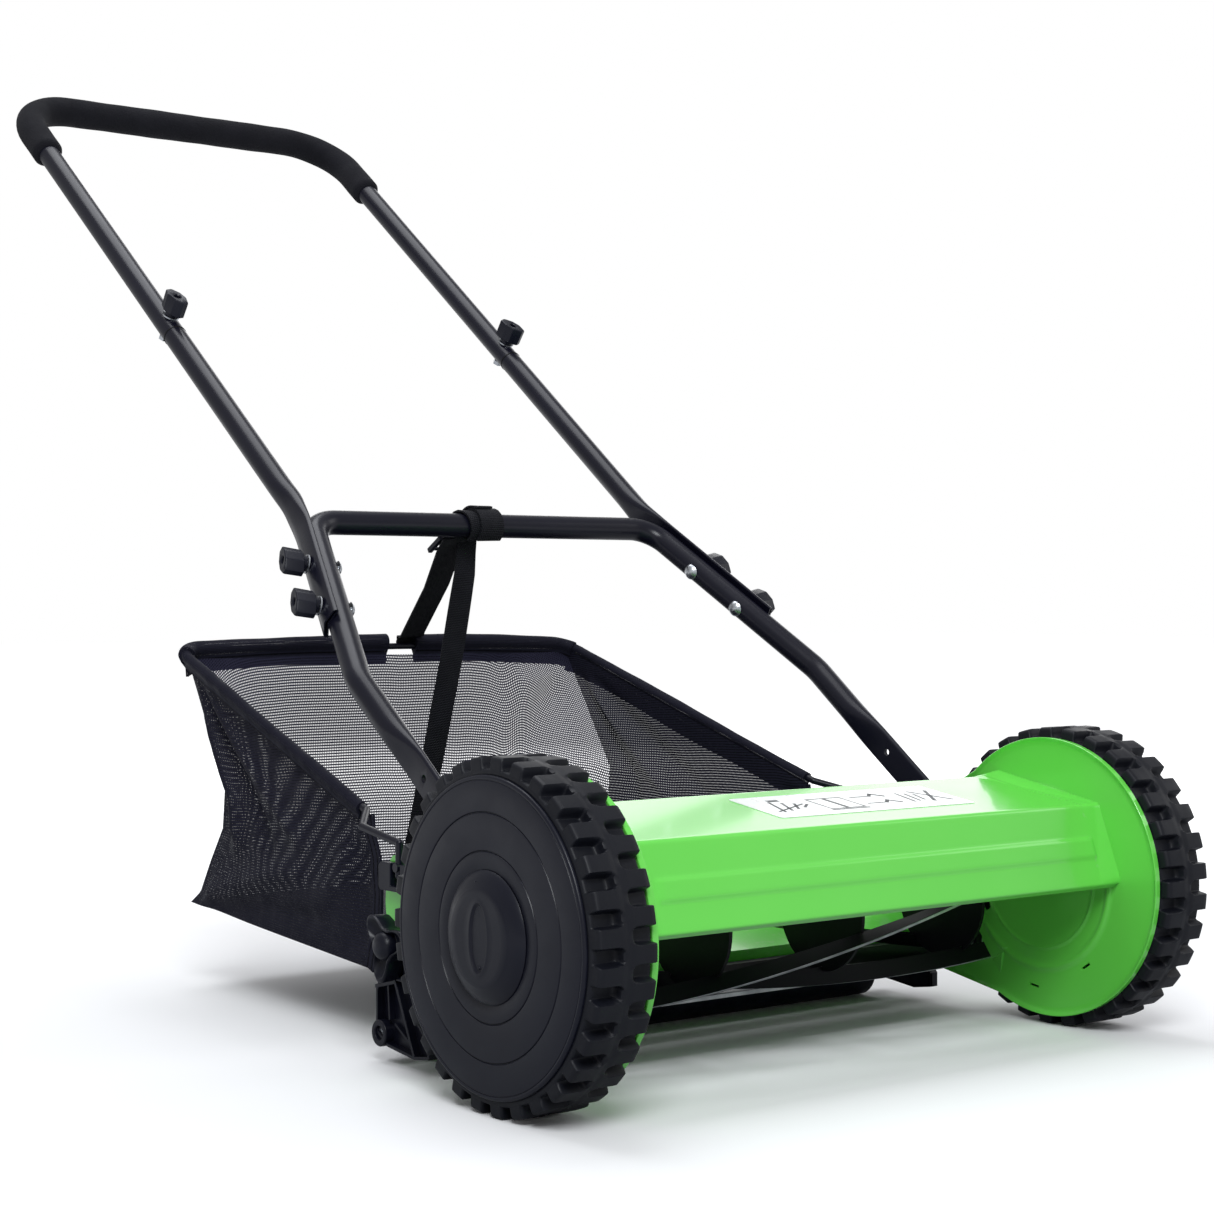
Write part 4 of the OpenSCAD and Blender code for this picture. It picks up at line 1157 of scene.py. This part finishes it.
def rim_path():
    """The catcher's wire from the right shoulder round the rear to the left shoulder."""
    corners = [(-233, 262), (-216, 606), (216, 606), (233, 262)]
    line = spaced(rounded([(x, y, wire_z(y)) for x, y in corners], [22, 22], 14), 4.0)
    across = np.clip((line[:, 0] + 216) / 432, 0, 1)
    line[:, 2] += 5.5 * np.sin(pi * across) ** 0.7 * smooth((line[:, 1] - 560) / 40) - 1.0
    return line


def bag():
    path = rim_path()
    right = [p for p in path if p[0] < 0 and 268 < p[1] <= 598]
    left = [p for p in path if p[0] > 0 and 268 < p[1] <= 598]
    rear_right = [p for p in path if p[1] > 594 and p[0] < 2]
    rear_left = [p for p in path if p[1] > 594 and p[0] > 30]
    side_right = [hem("hem_side_right", right, 10, 4.6), edge_binding("binding_right", -1)]
    side_left = [hem("hem_side_left", left, 23, 5.0, seed=2.0), edge_binding("binding_left", 1)]
    rear_hems = [hem("hem_rear_right", rear_right, 20, 7.0, seed=1.0),
                 hem("hem_rear_left", rear_left, 20, 7.0, seed=3.0)]
    # The side walls and floor take the darker copy of the mesh: painted shade.
    panel("bag_side_right", lambda u, t: side_wall(u, t, -1), 90, 70, "side_mesh_shaded")
    panel("bag_side_left", lambda u, t: side_wall(u, t, 1), 90, 70, "side_mesh_shaded")
    rear = panel("bag_rear", rear_wall, 120, 70, "mesh_fabric")
    panel("bag_floor", floor_panel, 60, 50, "side_mesh_shaded")
    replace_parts(rear, "catcher_bag")


# ---- straps ----

def strap_sweep(name, path, across, width, thick, replaces=(), slack=0.0):
    """A flat strap along a path. across is the direction of its width, or gives it at a share of the run."""
    path = spaced(np.asarray(path, float), 3.0)
    step = np.gradient(path, axis=0)
    run = np.r_[0, np.cumsum(np.linalg.norm(np.diff(path, axis=0), axis=1))]
    cells = np.linspace(-0.5, 0.5, 9)
    rings = []
    for i, p in enumerate(path):
        wide = np.asarray(across(run[i] / run[-1]) if callable(across) else across, float)
        wide = unit(wide - step[i] * (wide @ step[i]) / (step[i] @ step[i]))
        face = unit(np.cross(step[i], wide))
        cup = slack * (0.25 - cells ** 2) * sin(run[i] / 31)
        middle = p + np.outer(cells * width, wide) + np.outer(cup, face)
        rings.append(np.vstack([middle + face * thick / 2, (middle - face * thick / 2)[::-1]]))
    side_run = (np.r_[cells, cells[::-1]] + 0.5) * width
    uv = np.c_[np.tile(side_run, len(path)), np.repeat(run, len(side_run))]
    piece = make(name, skin(rings), "handle", "webbing", crease=50, replaces=replaces, uv=uv)


def straps():
    top_y, top_z = PIVOT_Y + 412 * cos(SLOPE), PIVOT_Z + 412 * sin(SLOPE)
    loop_r = TUBE_R + 2.2

    def round_bar(x0, x1, start, end, radius=loop_r, steps=14):
        turns = [(k / steps, radians(start + (end - start) * k / steps)) for k in range(steps + 1)]
        return [(x0 + (x1 - x0) * k, top_y + radius * cos(a), top_z + radius * sin(a)) for k, a in turns]

    rear = [(-30, top_y + 8.5, top_z - 10.5), (-24, top_y + 28, top_z - 21.5), (-2, 515, 355), (23, 596, 308),
            (26, 605.5, 307.5), (27, 610.5, 302.5), (27.2, 609, 295.5)]
    strap_sweep("strap_rear", rear, (1, 0.12, 0), 25, 1.7, ["rear_strap"], slack=1.2)
    strap_sweep("strap_hoop", round_bar(-27, -12, -60, 255), (1, 0, 0), 25, 1.8)
    strap_sweep("strap_hoop_outer", round_bar(-6, -9, 240, -40, loop_r + 2.2), (1, 0, 0), 24, 1.8)
    lift = round_bar(-10, -13, 110, -25, loop_r + 4.4)
    lift += [(-15, 450, 365), (-17, 468, 290), (-19, 497, 195), (-22, 538, 76)]

    def turning(t):
        return 1, -0.6 * sin(pi * min(max(t - 0.15, 0) * 1.5, 1)), 0

    strap_sweep("strap_lift", lift, turning, 20, 1.7, ["lift_strap"], slack=1.5)


def buckle():
    """A three-bar slide in black plastic, over the rear strap."""
    start = np.array([-30, 445.0, 399.1])
    run = np.array([26, 598, 309.0]) - start
    centre = start + 0.092 * run
    tilt = atan2(run[2], run[1])
    along = np.array([0, cos(tilt), sin(tilt)])
    up = np.array([0, -sin(tilt), cos(tilt)])

    def bar(x0, x1, v0, v1, h0, h1):
        box = prism_x([(v0, h0), (v1, h0), (v1, h1), (v0, h1)], x0, x1)
        return moved(box, lambda p: centre + (p[0], 0, 0) + along * p[1] + up * p[2])

    parts = [bar(-17, -13, -11, 11, -1.4, 3.2), bar(13, 17, -11, 11, -1.4, 3.2)]
    parts += [bar(-13.5, 13.5, v - 1.6, v + 1.6, 1.0, 3.4) for v in (-9.2, 0, 9.2)]
    make("slide_buckle", joined(*parts), "handle", "black_plastic", bevel=0.7, replaces=["strap_buckle"])


# ---- the whole machine ----

for build in (make_materials, make_camera, make_world, make_floor, make_lights, paint_cad_nodes, tyres,
              wheel_discs, hub_domes, side_plates, cover, label, blades, lower_frame, mid_tubes, grip,
              knobs, height_knobs, height_brackets, hangers, bag, straps, buckle):
    build()
